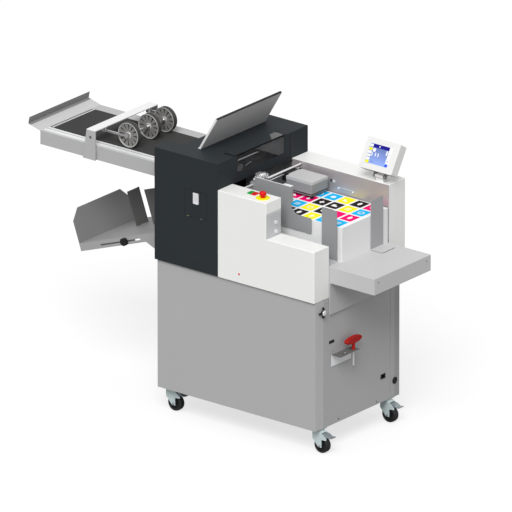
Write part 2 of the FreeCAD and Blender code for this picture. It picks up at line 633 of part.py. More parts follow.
def wing_latch():
    """Quarter-turn wing latch: wing and rose outside the door, cam inside."""
    face = "Dim.cab_wide"
    y_text, z_text = "Dim.latch_y", "Dim.latch_z"
    out = f"{face} + Dim.air"
    stem = rod(
        "latch_stem", "Dim.latch_stem_r", "Dim.latch_inner + Dim.latch_wing_thick",
        (f"{face} - Dim.latch_inner", y_text, z_text), "X",
    )
    rose = rod("latch_rose", "Dim.latch_disc_r", "Dim.latch_disc_thick", (out, y_text, z_text), "X")
    wing = span(
        "latch_wing",
        (out, f"{y_text} - Dim.latch_wing_wide / 2", f"{z_text} - Dim.latch_wing_high / 2"),
        (
            f"{face} + Dim.latch_wing_thick", f"{y_text} + Dim.latch_wing_wide / 2",
            f"{z_text} + Dim.latch_wing_high / 2",
        ),
    )
    cam = span(
        "latch_cam",
        (
            f"{face} - Dim.latch_inner", f"{y_text} - Dim.cam_wide / 2",
            f"{z_text} - Dim.cam_wide / 2",
        ),
        (
            f"{face} - Dim.latch_inner + Dim.cam_thick", f"{y_text} + Dim.cam_long",
            f"{z_text} + Dim.cam_wide / 2",
        ),
    )
    return join("wing_latch_piece", [stem, rose, wing, cam])


def power_inlet():
    """Mains inlet let into the side panel, with the power supply behind it."""
    face = "Dim.cab_wide"
    half_y = "Dim.inlet_wide / 2"
    half_z = "Dim.inlet_high / 2"
    inner = "Dim.cab_wide - Dim.cab_inset - Dim.cab_wall"
    y_text, z_text = "Dim.inlet_y", "Dim.inlet_z"
    rim = span(
        "inlet_rim",
        (face, f"{y_text} - {half_y} - Dim.inlet_rim", f"{z_text} - {half_z} - Dim.inlet_rim"),
        (
            f"{face} + Dim.inlet_lip", f"{y_text} + {half_y} + Dim.inlet_rim",
            f"{z_text} + {half_z} + Dim.inlet_rim",
        ),
    )
    neck = span(
        "inlet_neck",
        (
            f"{face} - Dim.inlet_neck", f"{y_text} - {half_y} + Dim.seat",
            f"{z_text} - {half_z} + Dim.seat",
        ),
        (face, f"{y_text} + {half_y} - Dim.seat", f"{z_text} + {half_z} - Dim.seat"),
    )
    case = span(
        "supply_case",
        (
            f"{inner} - Dim.supply_long", f"{y_text} - Dim.supply_wide / 2",
            f"{z_text} - Dim.supply_high / 2",
        ),
        (inner, f"{y_text} + Dim.supply_wide / 2", f"{z_text} + Dim.supply_high / 2"),
    )
    socket = span(
        "inlet_socket",
        (
            f"{face} + Dim.inlet_lip - Dim.inlet_socket_deep",
            f"{y_text} - Dim.inlet_socket_wide / 2", f"{z_text} - Dim.inlet_socket_high / 2",
        ),
        (
            f"{face} + 2 * Dim.inlet_lip",
            f"{y_text} + Dim.inlet_socket_wide / 2", f"{z_text} + Dim.inlet_socket_high / 2",
        ),
    )
    hollow = cut("inlet_hollow", join("inlet_block", [rim, neck, case]), [socket])
    pins = []
    for number in (-1, 0, 1):
        pins.append(
            rod(
                f"inlet_pin_{number + 1}", "Dim.pin_r", "Dim.pin_long",
                (
                    f"{face} + Dim.inlet_lip - Dim.inlet_socket_deep - Dim.pin_r",
                    f"{y_text} + {number} * Dim.pin_pitch", z_text,
                ),
                "X",
            )
        )
    return join("power_inlet_piece", [hollow] + pins)


def tool():
    """Adjusting tool with a loop grip that hangs in the side bracket."""
    half = "Dim.tool_grip_long / 2"
    tall = "Dim.tool_grip_high"
    body = new_body("grip")
    thick = "Dim.tool_grip_thick"
    bar = rect(f"-{half}", "0", half, tall)
    base = pad(body, sketch_on(body, "YZ", [bar]), thick, middle=True)
    round_edges(body, base, f"{tall} / 2 - Dim.air", lambda edge: runs_along(edge, ALONG))
    place(body, "Dim.tool_x", "Dim.tool_y", "Dim.tool_grip_low")
    turn(body, UPWARD, "-Dim.tool_angle")
    seat = "Dim.brk_top + Dim.air"
    neck = rod(
        "tool_neck", "Dim.tool_neck_r", f"Dim.tool_grip_low + {tall} / 4 - ({seat})",
        ("Dim.tool_x", "Dim.tool_y", seat), "Z",
    )
    shaft = rod(
        "tool_shaft", "Dim.tool_shaft_r", f"{seat} - Dim.tool_tip_z + Dim.tool_neck_r",
        ("Dim.tool_x", "Dim.tool_y", "Dim.tool_tip_z"), "Z",
    )
    return join("tool_piece", [body, neck, shaft])


def caster_spots():
    """Row, side and swivel axis of the four casters."""
    rows = (("front", "Dim.cas_y"), ("rear", "Dim.cas_y + Dim.cas_pitch_y"))
    sides = (("left", "Dim.cas_x"), ("right", "Dim.cas_x + Dim.cas_pitch_x"))
    return [(row, side, y_text, x_text) for row, y_text in rows for side, x_text in sides]


def caster(tag, x_text, y_text):
    """Swivel caster: fork, wheel and brake pedal, standing on the floor."""
    axle_x = f"({x_text} + Dim.cas_trail)"
    fork = new_body(f"fork_{tag}")
    trail = "Dim.cas_trail"
    side = [
        ("-Dim.fork_back", "Dim.fork_top"), ("-Dim.fork_back", "Dim.fork_knee"),
        (f"{trail} - Dim.fork_shin_out", "Dim.fork_heel"),
        (f"{trail} + Dim.fork_shin_out", "Dim.fork_heel"),
        (f"{trail} + Dim.fork_shin_out", "Dim.fork_shin"), ("Dim.fork_arm", "Dim.fork_arm_low"),
        ("Dim.fork_arm", "Dim.fork_arm_top"), ("Dim.fork_nose", "Dim.fork_top"),
    ]
    pad(fork, sketch_on(fork, "XZ", [side]), "2 * Dim.fork_half", middle=True)
    inside = "(Dim.fork_half - Dim.fork_leg)"
    gap = rect(f"-{inside}", "0", inside, "Dim.fork_slot_top")
    pocket_both(fork, sketch_on(fork, "YZ", [gap]))
    pad(
        fork, sketch_on(fork, "XY", [("0", "0", "Dim.swivel_r")], "Dim.fork_top"),
        "Dim.swivel_top - Dim.fork_top",
    )
    pad(
        fork, sketch_on(fork, "XY", [("0", "0", "Dim.stem_r")], "Dim.swivel_top"),
        "Dim.cab_low - Dim.plate_thick - Dim.swivel_top + Dim.stem_deep",
    )
    pins = [
        (trail, "Dim.wheel_r", "Dim.axle_r"), ("Dim.brake_x", "Dim.brake_z", "Dim.brake_pin_r"),
    ]
    for pin in pins:
        pad(fork, sketch_on(fork, "XZ", [pin]), "2 * Dim.fork_half", middle=True)
    keep(f"caster_fork_{tag}", place(fork, x_text, y_text, "0"))

    wheel = new_body(f"wheel_{tag}")
    tyre = [("0", "0", "Dim.wheel_r"), ("0", "0", "Dim.axle_r + Dim.run_fit")]
    base = pad(wheel, sketch_on(wheel, "XZ", tyre), "Dim.wheel_wide", middle=True)
    DOC.recompute()
    names = []
    for number, edge in enumerate(base.Shape.Edges, start=1):
        if edge.Curve.TypeId == "Part::GeomCircle" and edge.Curve.Radius > dim("wheel_r") - TINY:
            names.append(f"Edge{number}")
    crown = wheel.newObject("PartDesign::Fillet", f"{wheel.Name}_crown")
    crown.Base = (base, names)
    crown.setExpression("Radius", "Dim.wheel_crown")
    wheel.Tip = crown
    keep(f"caster_wheel_{tag}", place(wheel, axle_x, y_text, "Dim.wheel_r"))

    brake = new_body(f"brake_{tag}")
    top = "Dim.brake_thick / 2"
    reach = "(Dim.brake_lip - Dim.brake_x)"
    neck = "(Dim.brake_neck - Dim.brake_x)"
    hump = "(Dim.brake_hump - Dim.brake_x)"
    lip_top = "Dim.brake_lip_rise + Dim.brake_lip_thick - Dim.brake_drop"
    pedal = [
        ("0", f"-{top}"), (hump, f"-{top}"), (neck, f"-Dim.brake_drop + {top} / 2"),
        (reach, "Dim.brake_lip_rise - Dim.brake_drop"), (reach, lip_top),
        (neck, "Dim.brake_lip_thick + Dim.brake_lip_rise / 2 - Dim.brake_drop"),
        (hump, top), ("0", top),
    ]
    pad(brake, sketch_on(brake, "XZ", [pedal]), "2 * Dim.brake_half", middle=True)
    boss = [("0", "0", "Dim.brake_boss_r")]
    pad(brake, sketch_on(brake, "XZ", boss), "2 * Dim.brake_half", middle=True)
    bore = [("0", "0", "Dim.brake_pin_r + Dim.run_fit")]
    pocket_both(brake, sketch_on(brake, "XZ", bore))
    keep(f"caster_brake_{tag}", place(brake, f"{x_text} + Dim.brake_x", y_text, "Dim.brake_z"))


def casters():
    """Four casters, named by corner: front or rear, left or right."""
    for row, side, y_text, x_text in caster_spots():
        caster(f"{row}_{side}", x_text, y_text)


def tower_covers():
    """Black sheet covers of the folding tower: front, top, right and left with rear."""
    wall = "Dim.tow_wall"
    high = "(Dim.tow_top - Dim.tow_wall - Dim.cab_top)"
    hatch = rect(
        "Dim.hatch_x - Dim.tow_x", "Dim.hatch_low - Dim.cab_top",
        "Dim.hatch_x + Dim.hatch_wide - Dim.tow_x",
        "Dim.hatch_low + Dim.hatch_high - Dim.cab_top",
    )
    front = sheet_piece(
        "cover_front", "XZ", [rect("0", "0", "Dim.tow_wide", high), hatch], wall, True
    )
    keep("cover_front", place(front, "Dim.tow_x", "Dim.tow_y", "Dim.cab_top"))

    win_left = "Dim.win_x - Dim.tow_x"
    win_front = "Dim.win_front - Dim.tow_y"
    win_back = "Dim.win_back - Dim.tow_y"
    notch_right = "Dim.notch_right - Dim.tow_x"
    notch_front = "Dim.notch_front - Dim.tow_y"
    notch_back = "Dim.notch_back - Dim.tow_y"
    outline = [
        ("0", "0"), ("Dim.tow_wide", "0"), ("Dim.tow_wide", win_front), (win_left, win_front),
        (win_left, win_back), ("Dim.tow_wide", win_back), ("Dim.tow_wide", "Dim.tow_deep"),
        ("0", "Dim.tow_deep"), ("0", notch_back), (notch_right, notch_back),
        (notch_right, notch_front), ("0", notch_front),
    ]
    top = sheet_piece("cover_top", "XY", [outline], wall)
    place(top, "Dim.tow_x", "Dim.tow_y", "Dim.tow_top - Dim.tow_wall")
    lid_axis = ("Dim.lid_axis_x", "Dim.lid_axis_z", "Dim.lid_pin_r")
    win_axis = ("Dim.win_hinge_x", "Dim.win_hinge_z", "Dim.win_hinge_r")
    lid_back = "Dim.lid_front + Dim.lid_wide - Dim.ear_inset - Dim.ear_long"
    places = (
        ("lid_ear_front", lid_axis, "Dim.lid_front + Dim.ear_inset"),
        ("lid_ear_back", lid_axis, lid_back),
        ("win_ear_front", win_axis, "Dim.win_front - Dim.seam - Dim.ear_long"),
        ("win_ear_back", win_axis, "Dim.win_back + Dim.seam"),
    )
    blocks = [ear_block(*spot) for spot in places]
    bores = [ear_bore(*spot) for spot in places]
    keep("cover_top", cut("cover_top_piece", join("cover_top_solid", [top] + blocks), bores))

    side_wide = "(Dim.tow_deep - 2 * Dim.tow_wall)"
    start = "(Dim.tow_y + Dim.tow_wall)"
    mouth_left = f"Dim.win_front - {start}"
    mouth_right = f"Dim.win_back - {start}"
    mouth_low = "Dim.win_low - Dim.cab_top"
    outline = [
        ("0", "0"), (side_wide, "0"), (side_wide, high), (mouth_right, high),
        (mouth_right, mouth_low), (mouth_left, mouth_low), (mouth_left, high), ("0", high),
    ]
    feed = rect(
        f"Dim.feed_front - {start}", "Dim.feed_low - Dim.cab_top",
        f"Dim.feed_back - {start}", "Dim.feed_top - Dim.cab_top",
    )
    right = sheet_piece("cover_right", "YZ", [outline, feed], wall, True)
    keep("cover_right", place(right, "Dim.tow_x + Dim.tow_wide", start, "Dim.cab_top"))

    gap_left = f"Dim.notch_front - {start}"
    gap_right = f"Dim.notch_back - {start}"
    gap_low = "Dim.notch_low - Dim.cab_top"
    outline = [
        ("0", "0"), (side_wide, "0"), (side_wide, high), (gap_right, high),
        (gap_right, gap_low), (gap_left, gap_low), (gap_left, high), ("0", high),
    ]
    way_out = rect(
        f"Dim.exit_front - {start}", "Dim.exit_low - Dim.cab_top",
        f"Dim.exit_back - {start}", "Dim.exit_top - Dim.cab_top",
    )
    left = sheet_piece("cover_left", "YZ", [outline, way_out], wall)
    place(left, "Dim.tow_x", start, "Dim.cab_top")
    rear = box(
        "cover_rear", ("Dim.tow_wide", wall, high),
        ("Dim.tow_x", "Dim.tow_y + Dim.tow_deep - Dim.tow_wall", "Dim.cab_top"),
    )
    keep("cover_left", join("cover_left_piece", [left, rear]))


def ear_block(name, axis, y_text):
    """Ear that stands on the tower top and carries one hinge pin end."""
    x_text, z_text, _ = axis
    return span(
        f"{name}_block", (f"{x_text} - Dim.ear_half", y_text, "Dim.tow_top"),
        (f"{x_text} + Dim.ear_half", f"{y_text} + Dim.ear_long", f"{z_text} + Dim.ear_half"),
    )


def ear_bore(name, axis, y_text):
    """Pin bore of one ear, run on to clear the pin over the sheet."""
    x_text, z_text, pin_text = axis
    return rod(
        f"{name}_bore", f"{pin_text} + Dim.run_fit", "3 * Dim.ear_long",
        (x_text, f"{y_text} - Dim.ear_long", z_text), "Y",
    )


def access_hatch():
    """Small door in the tower front, hinged along its lower edge, with the latch lugs."""
    gap = "Dim.seam"
    left = f"Dim.hatch_x + {gap}"
    low = f"Dim.hatch_low + {gap}"
    leaf = sheet_piece(
        "hatch", "XZ",
        [rect("0", "0", f"Dim.hatch_wide - 2 * {gap}", f"Dim.hatch_high - 2 * {gap}")],
        "Dim.hatch_thick", True,
    )
    pieces = [place(leaf, left, "Dim.tow_y", low)]
    inner = f"{left} + Dim.hatch_hinge_inset"
    outer = f"Dim.hatch_x + Dim.hatch_wide - {gap} - Dim.hatch_hinge_inset - Dim.hatch_hinge_long"
    for number, x_text in enumerate((inner, outer)):
        pieces.append(
            rod(
                f"hatch_barrel_{number}", "Dim.hatch_hinge_r", "Dim.hatch_hinge_long",
                (x_text, "Dim.tow_y", f"{low} + Dim.hatch_hinge_r"), "X",
            )
        )
    y_text, z_text = paddle_axis()
    reach = "(Dim.paddle_wide / 2 + Dim.air)"
    near = f"Dim.paddle_x - {reach} - Dim.lug_wide"
    for name, x_text in (("left", near), ("right", f"Dim.paddle_x + {reach}")):
        pieces.append(
            span(
                f"hatch_lug_{name}", (x_text, "Dim.tow_y - Dim.lug_out", f"{z_text} - Dim.lug_half"),
                (f"{x_text} + Dim.lug_wide", "Dim.tow_y", f"{z_text} + Dim.lug_half"),
            )
        )
    bore = rod(
        "hatch_lug_bore", "Dim.paddle_pin_r + Dim.run_fit", "2 * Dim.paddle_wide",
        ("Dim.paddle_x - Dim.paddle_wide", y_text, z_text), "X",
    )
    return cut("access_hatch_piece", join("hatch_solid", pieces), [bore])


def paddle_axis():
    """Tilt axis of the paddle latch, along its upper edge."""
    half = "Dim.paddle_thick / 2"
    return f"(Dim.tow_y - Dim.air - {half})", f"(Dim.paddle_top - {half})"


def paddle_latch():
    """Paddle latch: dished plate, rounded upper edge and its two pin ends."""
    y_text, z_text = paddle_axis()
    body = new_body("paddle")
    high = "(Dim.paddle_high - Dim.paddle_thick / 2)"
    plate = rect("0", "0", "Dim.paddle_wide", high)
    base = pad(body, sketch_on(body, "XZ", [plate]), "Dim.paddle_thick")
    round_edges(
        body, base, "Dim.paddle_round",
        lambda edge: runs_along(edge, ACROSS) and edge.BoundBox.ZMax < TINY,
    )
    rim = "Dim.paddle_rim"
    dip = rect(rim, rim, f"Dim.paddle_wide - {rim}", "Dim.paddle_high / 2")
    pocket(body, sketch_on(body, "XZ", [dip], "Dim.paddle_thick"), "Dim.paddle_dip")
    left = "Dim.paddle_x - Dim.paddle_wide / 2"
    place(body, left, "Dim.tow_y - Dim.air", f"{z_text} - {high}")
    barrel = rod(
        "paddle_barrel", "Dim.paddle_thick / 2", "Dim.paddle_wide", (left, y_text, z_text), "X"
    )
    over = "(Dim.air + Dim.lug_wide)"
    pin = rod(
        "paddle_pin", "Dim.paddle_pin_r", f"Dim.paddle_wide + 2 * {over}",
        (f"{left} - {over}", y_text, z_text), "X",
    )
    return join("paddle_latch_piece", [body, barrel, pin])


def window_lid():
    """Smoked window bent over the tower's top right edge, hinged at its left edge."""
    wall = "Dim.tow_wall"
    wide = "(Dim.tow_x + Dim.tow_wide - Dim.win_x - Dim.seam)"
    high = "(Dim.tow_top - Dim.win_low - Dim.seam)"
    bend = [
        ("0", f"{high} - {wall}"), (f"{wide} - {wall}", f"{high} - {wall}"),
        (f"{wide} - {wall}", "0"), (wide, "0"), (wide, high), ("0", high),
    ]
    body = new_body("window")
    depth = "Dim.win_back - Dim.win_front - 2 * Dim.seam"
    base = pad(body, sketch_on(body, "XZ", [bend]), depth, True)
    round_edges(
        body, base, "Dim.win_round",
        lambda edge: runs_along(edge, ALONG) and edge.BoundBox.ZMax < TINY,
    )
    place(body, "Dim.win_x + Dim.seam", "Dim.win_front + Dim.seam", "Dim.win_low + Dim.seam")
    barrel = rod(
        "window_barrel", "Dim.win_hinge_r",
        "Dim.win_back - Dim.win_front + 2 * Dim.seam + 2 * Dim.ear_long",
        ("Dim.win_hinge_x", "Dim.win_front - Dim.seam - Dim.ear_long", "Dim.win_hinge_z"), "Y",
    )
    return join("window_lid_piece", [body, barrel])


def top_lid():
    """Paper exit lid: a shallow pan that leans open over its hinge pin."""
    sheet = "Dim.lid_sheet"
    wide = "Dim.lid_wide"
    start, end = "Dim.lid_start", "Dim.lid_long"
    low = "-Dim.lid_deep"
    blocks = {
        "face": ((start, "0", low), (end, wide, f"{sheet} - Dim.lid_deep")),
        "near": ((start, "0", low), (end, sheet, "0")),
        "far": ((start, f"{wide} - {sheet}", low), (end, wide, "0")),
        "edge": ((f"{end} - {sheet}", "0", low), (end, wide, "0")),
    }
    for name, y_text in (("near", "0"), ("far", f"{wide} - Dim.lid_tab")):
        blocks[f"tab_{name}"] = (
            ("-Dim.lid_pin_r", y_text, "-Dim.lid_tab_low"),
            (f"{start} + 2 * Dim.lid_tab", f"{y_text} + Dim.lid_tab", "0"),
        )
    pieces = [span(f"lid_{name}", *corners, shift) for name, corners in blocks.items()]
    pieces.append(rod("lid_pin", "Dim.lid_pin_r", wide, ("0", "0", "0"), "Y", shift))
    lid = join("top_lid_piece", pieces)
    place(lid, "Dim.lid_axis_x", "Dim.lid_front", "Dim.lid_axis_z")
    return turn(lid, ACROSS, "-Dim.lid_angle")


def roller_heights():
    """Heights of the upper and lower feed roller axes."""
    return "Dim.roll_z", "(Dim.roll_z - 2 * Dim.roll_r - Dim.air)"


def inner_frame():
    """Two side plates tied by bars, bored for the rollers and slotted for the crease beam."""
    wide = "(Dim.in_right - Dim.in_left)"
    high = "(Dim.in_top - Dim.cab_top)"
    slot_low = "Dim.crease_slot - Dim.cab_top"
    slot_left = "Dim.crease_x - Dim.crease_thick / 2 - Dim.in_left"
    slot_right = "Dim.crease_x + Dim.crease_thick / 2 - Dim.in_left"
    outline = [
        ("0", "0"), (wide, "0"), (wide, high), (slot_right, high), (slot_right, slot_low),
        (slot_left, slot_low), (slot_left, high), ("0", high),
    ]
    bores = []
    for z_text in roller_heights():
        bores.append(
            (
                "Dim.roll_x - Dim.in_left", f"{z_text} - Dim.cab_top",
                "Dim.journal_r + Dim.run_fit",
            )
        )
    pieces = []
    for name, y_text in (("front", "Dim.in_front"), ("back", "Dim.in_back")):
        plate = sheet_piece(f"frame_plate_{name}", "XZ", [outline] + bores, "Dim.in_thick", True)
        pieces.append(place(plate, "Dim.in_left", y_text, "Dim.cab_top"))
    gap = "Dim.in_back - Dim.in_front"
    start = "Dim.in_front + Dim.in_thick / 2"
    for name, x_text, z_text in (
        ("low", "Dim.tie_left", "Dim.tie_low"), ("low_right", "Dim.tie_x", "Dim.tie_low"),
        ("upper", "Dim.tie_x", "Dim.tie_z"),
    ):
        pieces.append(rod(f"frame_tie_{name}", "Dim.tie_r", gap, (x_text, start, z_text), "Y"))
    return join("inner_frame_piece", pieces)


def feed_roller(name, z_text):
    """Paper roller with a journal at each end."""
    start = "Dim.in_front + Dim.in_thick + Dim.roll_end"
    drum = rod(
        f"{name}_drum", "Dim.roll_r", f"Dim.in_back - Dim.roll_end - ({start})",
        ("Dim.roll_x", start, z_text), "Y",
    )
    shaft = rod(
        f"{name}_shaft", "Dim.journal_r", "Dim.in_back + Dim.in_thick - Dim.in_front",
        ("Dim.roll_x", "Dim.in_front", z_text), "Y",
    )
    return join(f"{name}_piece", [drum, shaft])


def crease_beam():
    """Creasing beam: a bar guided by the side plate slots, with its blade below."""
    half = "(Dim.crease_thick / 2 - Dim.run_fit)"
    top = "Dim.crease_low + Dim.crease_high"
    bar = span(
        "crease_bar", (f"Dim.crease_x - {half}", "Dim.in_front", "Dim.crease_low"),
        (f"Dim.crease_x + {half}", "Dim.in_back + Dim.in_thick", top),
    )
    blade = span(
        "crease_blade",
        (
            "Dim.crease_x - Dim.crease_tongue / 2", "Dim.in_front + Dim.in_thick + Dim.roll_end",
            "Dim.crease_low - Dim.crease_edge",
        ),
        ("Dim.crease_x + Dim.crease_tongue / 2", "Dim.in_back - Dim.roll_end", "Dim.crease_low"),
    )
    return join("crease_beam_piece", [bar, blade])


def front_housing():
    """White front housing: stepped hollow cover with the key and button openings."""
    body = new_body("front_housing")
    wide = "Dim.hou_wide"
    deep = "Dim.hou_deep"
    wall = "Dim.hou_wall"
    step = "(Dim.hou_step_x - Dim.hou_x)"
    high = "(Dim.hou_top - Dim.cab_top)"
    ledge = "(Dim.hou_ledge - Dim.cab_top)"
    outline = [("0", "0"), (wide, "0"), (wide, ledge), (step, ledge), (step, high), ("0", high)]
    base = pad(body, sketch_on(body, "XZ", [outline]), deep, True)
    inset = rect(
        "Dim.inset_front - Dim.hou_y", ledge, "Dim.inset_back - Dim.hou_y",
        f"{ledge} + Dim.inset_high",
    )
    round_edges(
        body, base, "Dim.hou_round",
        lambda edge: edge.BoundBox.ZMax > dim("hou_ledge") - dim("cab_top") - TINY
        and edge.BoundBox.YMax < TINY,
    )
    pad(body, sketch_on(body, "YZ", [inset], step), "Dim.inset_thick")
    tall = rect(wall, wall, f"{step} - {wall}", f"{deep} - {wall}")
    pocket(body, sketch_on(body, "XY", [tall]), f"{high} - {wall}", True)
    low = rect(wall, wall, f"{wide} - {wall}", f"{deep} - {wall}")
    pocket(body, sketch_on(body, "XY", [low]), f"{ledge} - {wall}", True)
    openings = [
        ("Dim.estop_x - Dim.hou_x", "Dim.estop_y - Dim.hou_y", "Dim.estop_stem_r + Dim.run_fit")
    ]
    for x_text in key_lefts():
        left = f"{x_text} - Dim.air - Dim.hou_x"
        front = "Dim.key_y - Dim.air - Dim.hou_y"
        openings.append(
            rect(
                left, front, f"{left} + Dim.key_wide + 2 * Dim.air",
                f"{front} + Dim.key_deep + 2 * Dim.air",
            )
        )
    pocket(body, sketch_on(body, "XY", openings, high), f"2 * {wall}")
    holes = []
    for z_text in ("Dim.side_key_upper", "Dim.side_key_lower"):
        holes.append(
            (
                "Dim.side_key_y - Dim.hou_y", f"{z_text} - Dim.cab_top",
                "Dim.side_key_r + Dim.run_fit",
            )
        )
    wall_sketch = sketch_on(body, "YZ", holes, f"{step} + Dim.inset_thick")
    pocket(body, wall_sketch, f"2 * {wall} + Dim.inset_thick")
    return place(body, "Dim.hou_x", "Dim.hou_y", "Dim.cab_top")


def key_lefts():
    """Left edges of the start and stop keys."""
    return "Dim.key_x", "(Dim.key_x + Dim.key_wide + Dim.key_gap)"


def top_key(name, x_text):
    """Rectangular push key with a wider skirt that holds it inside the housing."""
    cap = box(
        f"{name}_cap", ("Dim.key_wide", "Dim.key_deep", "Dim.key_stem + Dim.key_rise"),
        (x_text, "Dim.key_y", "Dim.hou_top - Dim.key_stem"),
    )
    skirt = span(
        f"{name}_skirt",
        (f"{x_text} - 2 * Dim.air", "Dim.key_y - 2 * Dim.air", "Dim.hou_top - Dim.key_stem"),
        (
            f"{x_text} + Dim.key_wide + 2 * Dim.air", "Dim.key_y + Dim.key_deep + 2 * Dim.air",
            "Dim.hou_top - Dim.hou_wall - 2 * Dim.air",
        ),
    )
    return join(f"{name}_piece", [cap, skirt])


def estop():
    """Mushroom stop button: cap, stem and the collar below the housing top."""
    spot = ("Dim.estop_x", "Dim.estop_y")
    under = "(Dim.hou_top - Dim.hou_wall - Dim.air)"
    cap = new_body("estop_cap")
    disc = [("0", "0", "Dim.estop_cap_r")]
    base = pad(cap, sketch_on(cap, "XY", disc), "Dim.estop_cap_high")
    DOC.recompute()
    names = []
    for number, edge in enumerate(base.Shape.Edges, start=1):
        if edge.BoundBox.ZMin > TINY:
            names.append(f"Edge{number}")
    crown = cap.newObject("PartDesign::Fillet", "estop_crown")
    crown.Base = (base, names)
    crown.setExpression("Radius", "Dim.estop_crown")
    cap.Tip = crown
    place(cap, *spot, "Dim.hou_top + Dim.estop_stem_high")
    stem = rod(
        "estop_stem", "Dim.estop_stem_r",
        f"Dim.hou_top + Dim.estop_stem_high - {under} + Dim.estop_stem_r",
        (*spot, f"{under} - Dim.estop_stem_r"), "Z",
    )
    collar = rod(
        "estop_collar", "Dim.estop_cap_r", "Dim.estop_stem_r / 2",
        (*spot, f"{under} - Dim.estop_stem_r / 2"), "Z",
    )
    return join("estop_piece", [cap, stem, collar])


def estop_disc():
    """Round plate around the stop button, seated on the housing top."""
    spot = ("Dim.estop_x", "Dim.estop_y", "Dim.hou_top")
    disc = rod("estop_plate", "Dim.estop_disc_r", "Dim.estop_disc_high", spot, "Z")
    hole = rod("estop_hole", "Dim.estop_stem_r + Dim.air", "3 * Dim.estop_disc_high", spot, "Z")
    return cut("estop_disc_piece", disc, [hole])


def side_key(name, z_text):
    """Round push button in the step wall, held by a collar inside."""
    face = "(Dim.hou_step_x + Dim.inset_thick)"
    inside = "(Dim.hou_step_x - Dim.hou_wall - Dim.air)"
    cap = rod(
        f"{name}_cap", "Dim.side_key_r", f"{face} + Dim.side_key_rise - {inside} + Dim.side_key_stem",
        (f"{inside} - Dim.side_key_stem", "Dim.side_key_y", z_text), "X",
    )
    collar = rod(
        f"{name}_collar", "Dim.side_key_r + Dim.side_key_lip", "Dim.side_key_stem / 3",
        (f"{inside} - Dim.side_key_stem / 3", "Dim.side_key_y", z_text), "X",
    )
    return join(f"{name}_piece", [cap, collar])


def display_axis():
    """Tilt axis of the display, from its own corner and tilt."""
    back, drop = "Dim.disp_pin_y", "Dim.disp_pin_drop"
    cosine, sine = "cos(Dim.disp_angle)", "sin(Dim.disp_angle)"
    y_text = f"(Dim.disp_low_y + {back} * {cosine} - {drop} * {sine})"
    z_text = f"(Dim.disp_low_z - {back} * {sine} - {drop} * {cosine})"
    return y_text, z_text


def rear_housing():
    """White rear housing with the sheet stem that carries the display."""
    body = new_body("rear_housing")
    wall = "Dim.hou_wall"
    high = "(Dim.rear_top - Dim.cab_top)"
    base = pad(body, sketch_on(body, "XY", [rect("0", "0", "Dim.rear_wide", "Dim.rear_deep")]), high)
    round_edges(
        body, base, "Dim.hou_round",
        lambda edge: edge.BoundBox.ZMin > dim("rear_top") - dim("cab_top") - TINY
        or (runs_along(edge, UPWARD) and edge.BoundBox.XMin > dim("rear_wide") - TINY),
    )
    hollow = rect(wall, wall, f"Dim.rear_wide - {wall}", f"Dim.rear_deep - {wall}")
    pocket(body, sketch_on(body, "XY", [hollow]), f"{high} - {wall}", True)
    place(body, "Dim.hou_x", "Dim.rear_y", "Dim.cab_top")
    y_text, z_text = display_axis()
    left = "Dim.stem_x"
    right = "Dim.stem_x + Dim.stem_wide"
    blade_y = f"{y_text} - Dim.stem_thick / 2"
    blade = span(
        "stem_blade", (left, blade_y, "Dim.rear_top"),
        (right, f"{blade_y} + Dim.stem_thick", z_text),
    )
    foot = span(
        "stem_foot", (left, blade_y, "Dim.rear_top"),
        (right, f"{blade_y} + Dim.stem_foot", "Dim.rear_top + Dim.stem_thick"),
    )
    boss = rod("stem_boss", "Dim.disp_lug_r", "Dim.stem_wide", (left, y_text, z_text), "X")
    bore = rod(
        "stem_bore", "Dim.disp_pin_r + Dim.run_fit", "3 * Dim.stem_wide",
        (f"{left} - Dim.stem_wide", y_text, z_text), "X",
    )
    stem = cut("stem", join("stem_solid", [blade, foot, boss]), [bore])
    return join("rear_housing_piece", [body, stem])


def display():
    """Display case with its screen recess, two lugs and the tilt pin."""
    body = new_body("display")
    outline = rect("0", "0", "Dim.disp_wide", "Dim.disp_high")
    base = pad(body, sketch_on(body, "XZ", [outline]), "Dim.disp_deep", True)
    round_edges(body, base, "Dim.disp_round", lambda edge: runs_along(edge, ACROSS))
    left = "Dim.screen_side"
    low = "Dim.screen_low"
    screen = rect(left, low, f"{left} + Dim.screen_wide", f"{low} + Dim.screen_high")
    pocket(body, sketch_on(body, "XZ", [screen]), "Dim.screen_deep")
    shift(body, "0", "0", "0")
    stem_left = "(Dim.stem_x - Dim.disp_low_x)"
    stem_right = "(Dim.stem_x + Dim.stem_wide - Dim.disp_low_x)"
    pieces = [body]
    for name, x_text in (
        ("left", f"{stem_left} - Dim.air - Dim.disp_lug"), ("right", f"{stem_right} + Dim.air")
    ):
        pieces.append(
            span(
                f"display_lug_{name}",
                (
                    x_text, "Dim.disp_deep - Dim.disp_lug_wide / 2",
                    "-Dim.disp_pin_drop - Dim.disp_lug_r",
                ),
                (f"{x_text} + Dim.disp_lug", "Dim.disp_deep", "Dim.screen_deep"), shift,
            )
        )
    pieces.append(
        rod(
            "display_pin", "Dim.disp_pin_r", "Dim.stem_wide + 2 * Dim.air + 2 * Dim.disp_lug",
            (f"{stem_left} - Dim.air - Dim.disp_lug", "Dim.disp_pin_y", "-Dim.disp_pin_drop"),
            "X", shift,
        )
    )
    case = join("display_piece", pieces)
    place(case, "Dim.disp_low_x", "Dim.disp_low_y", "Dim.disp_low_z")
    return turn(case, ALONG, "-Dim.disp_angle")


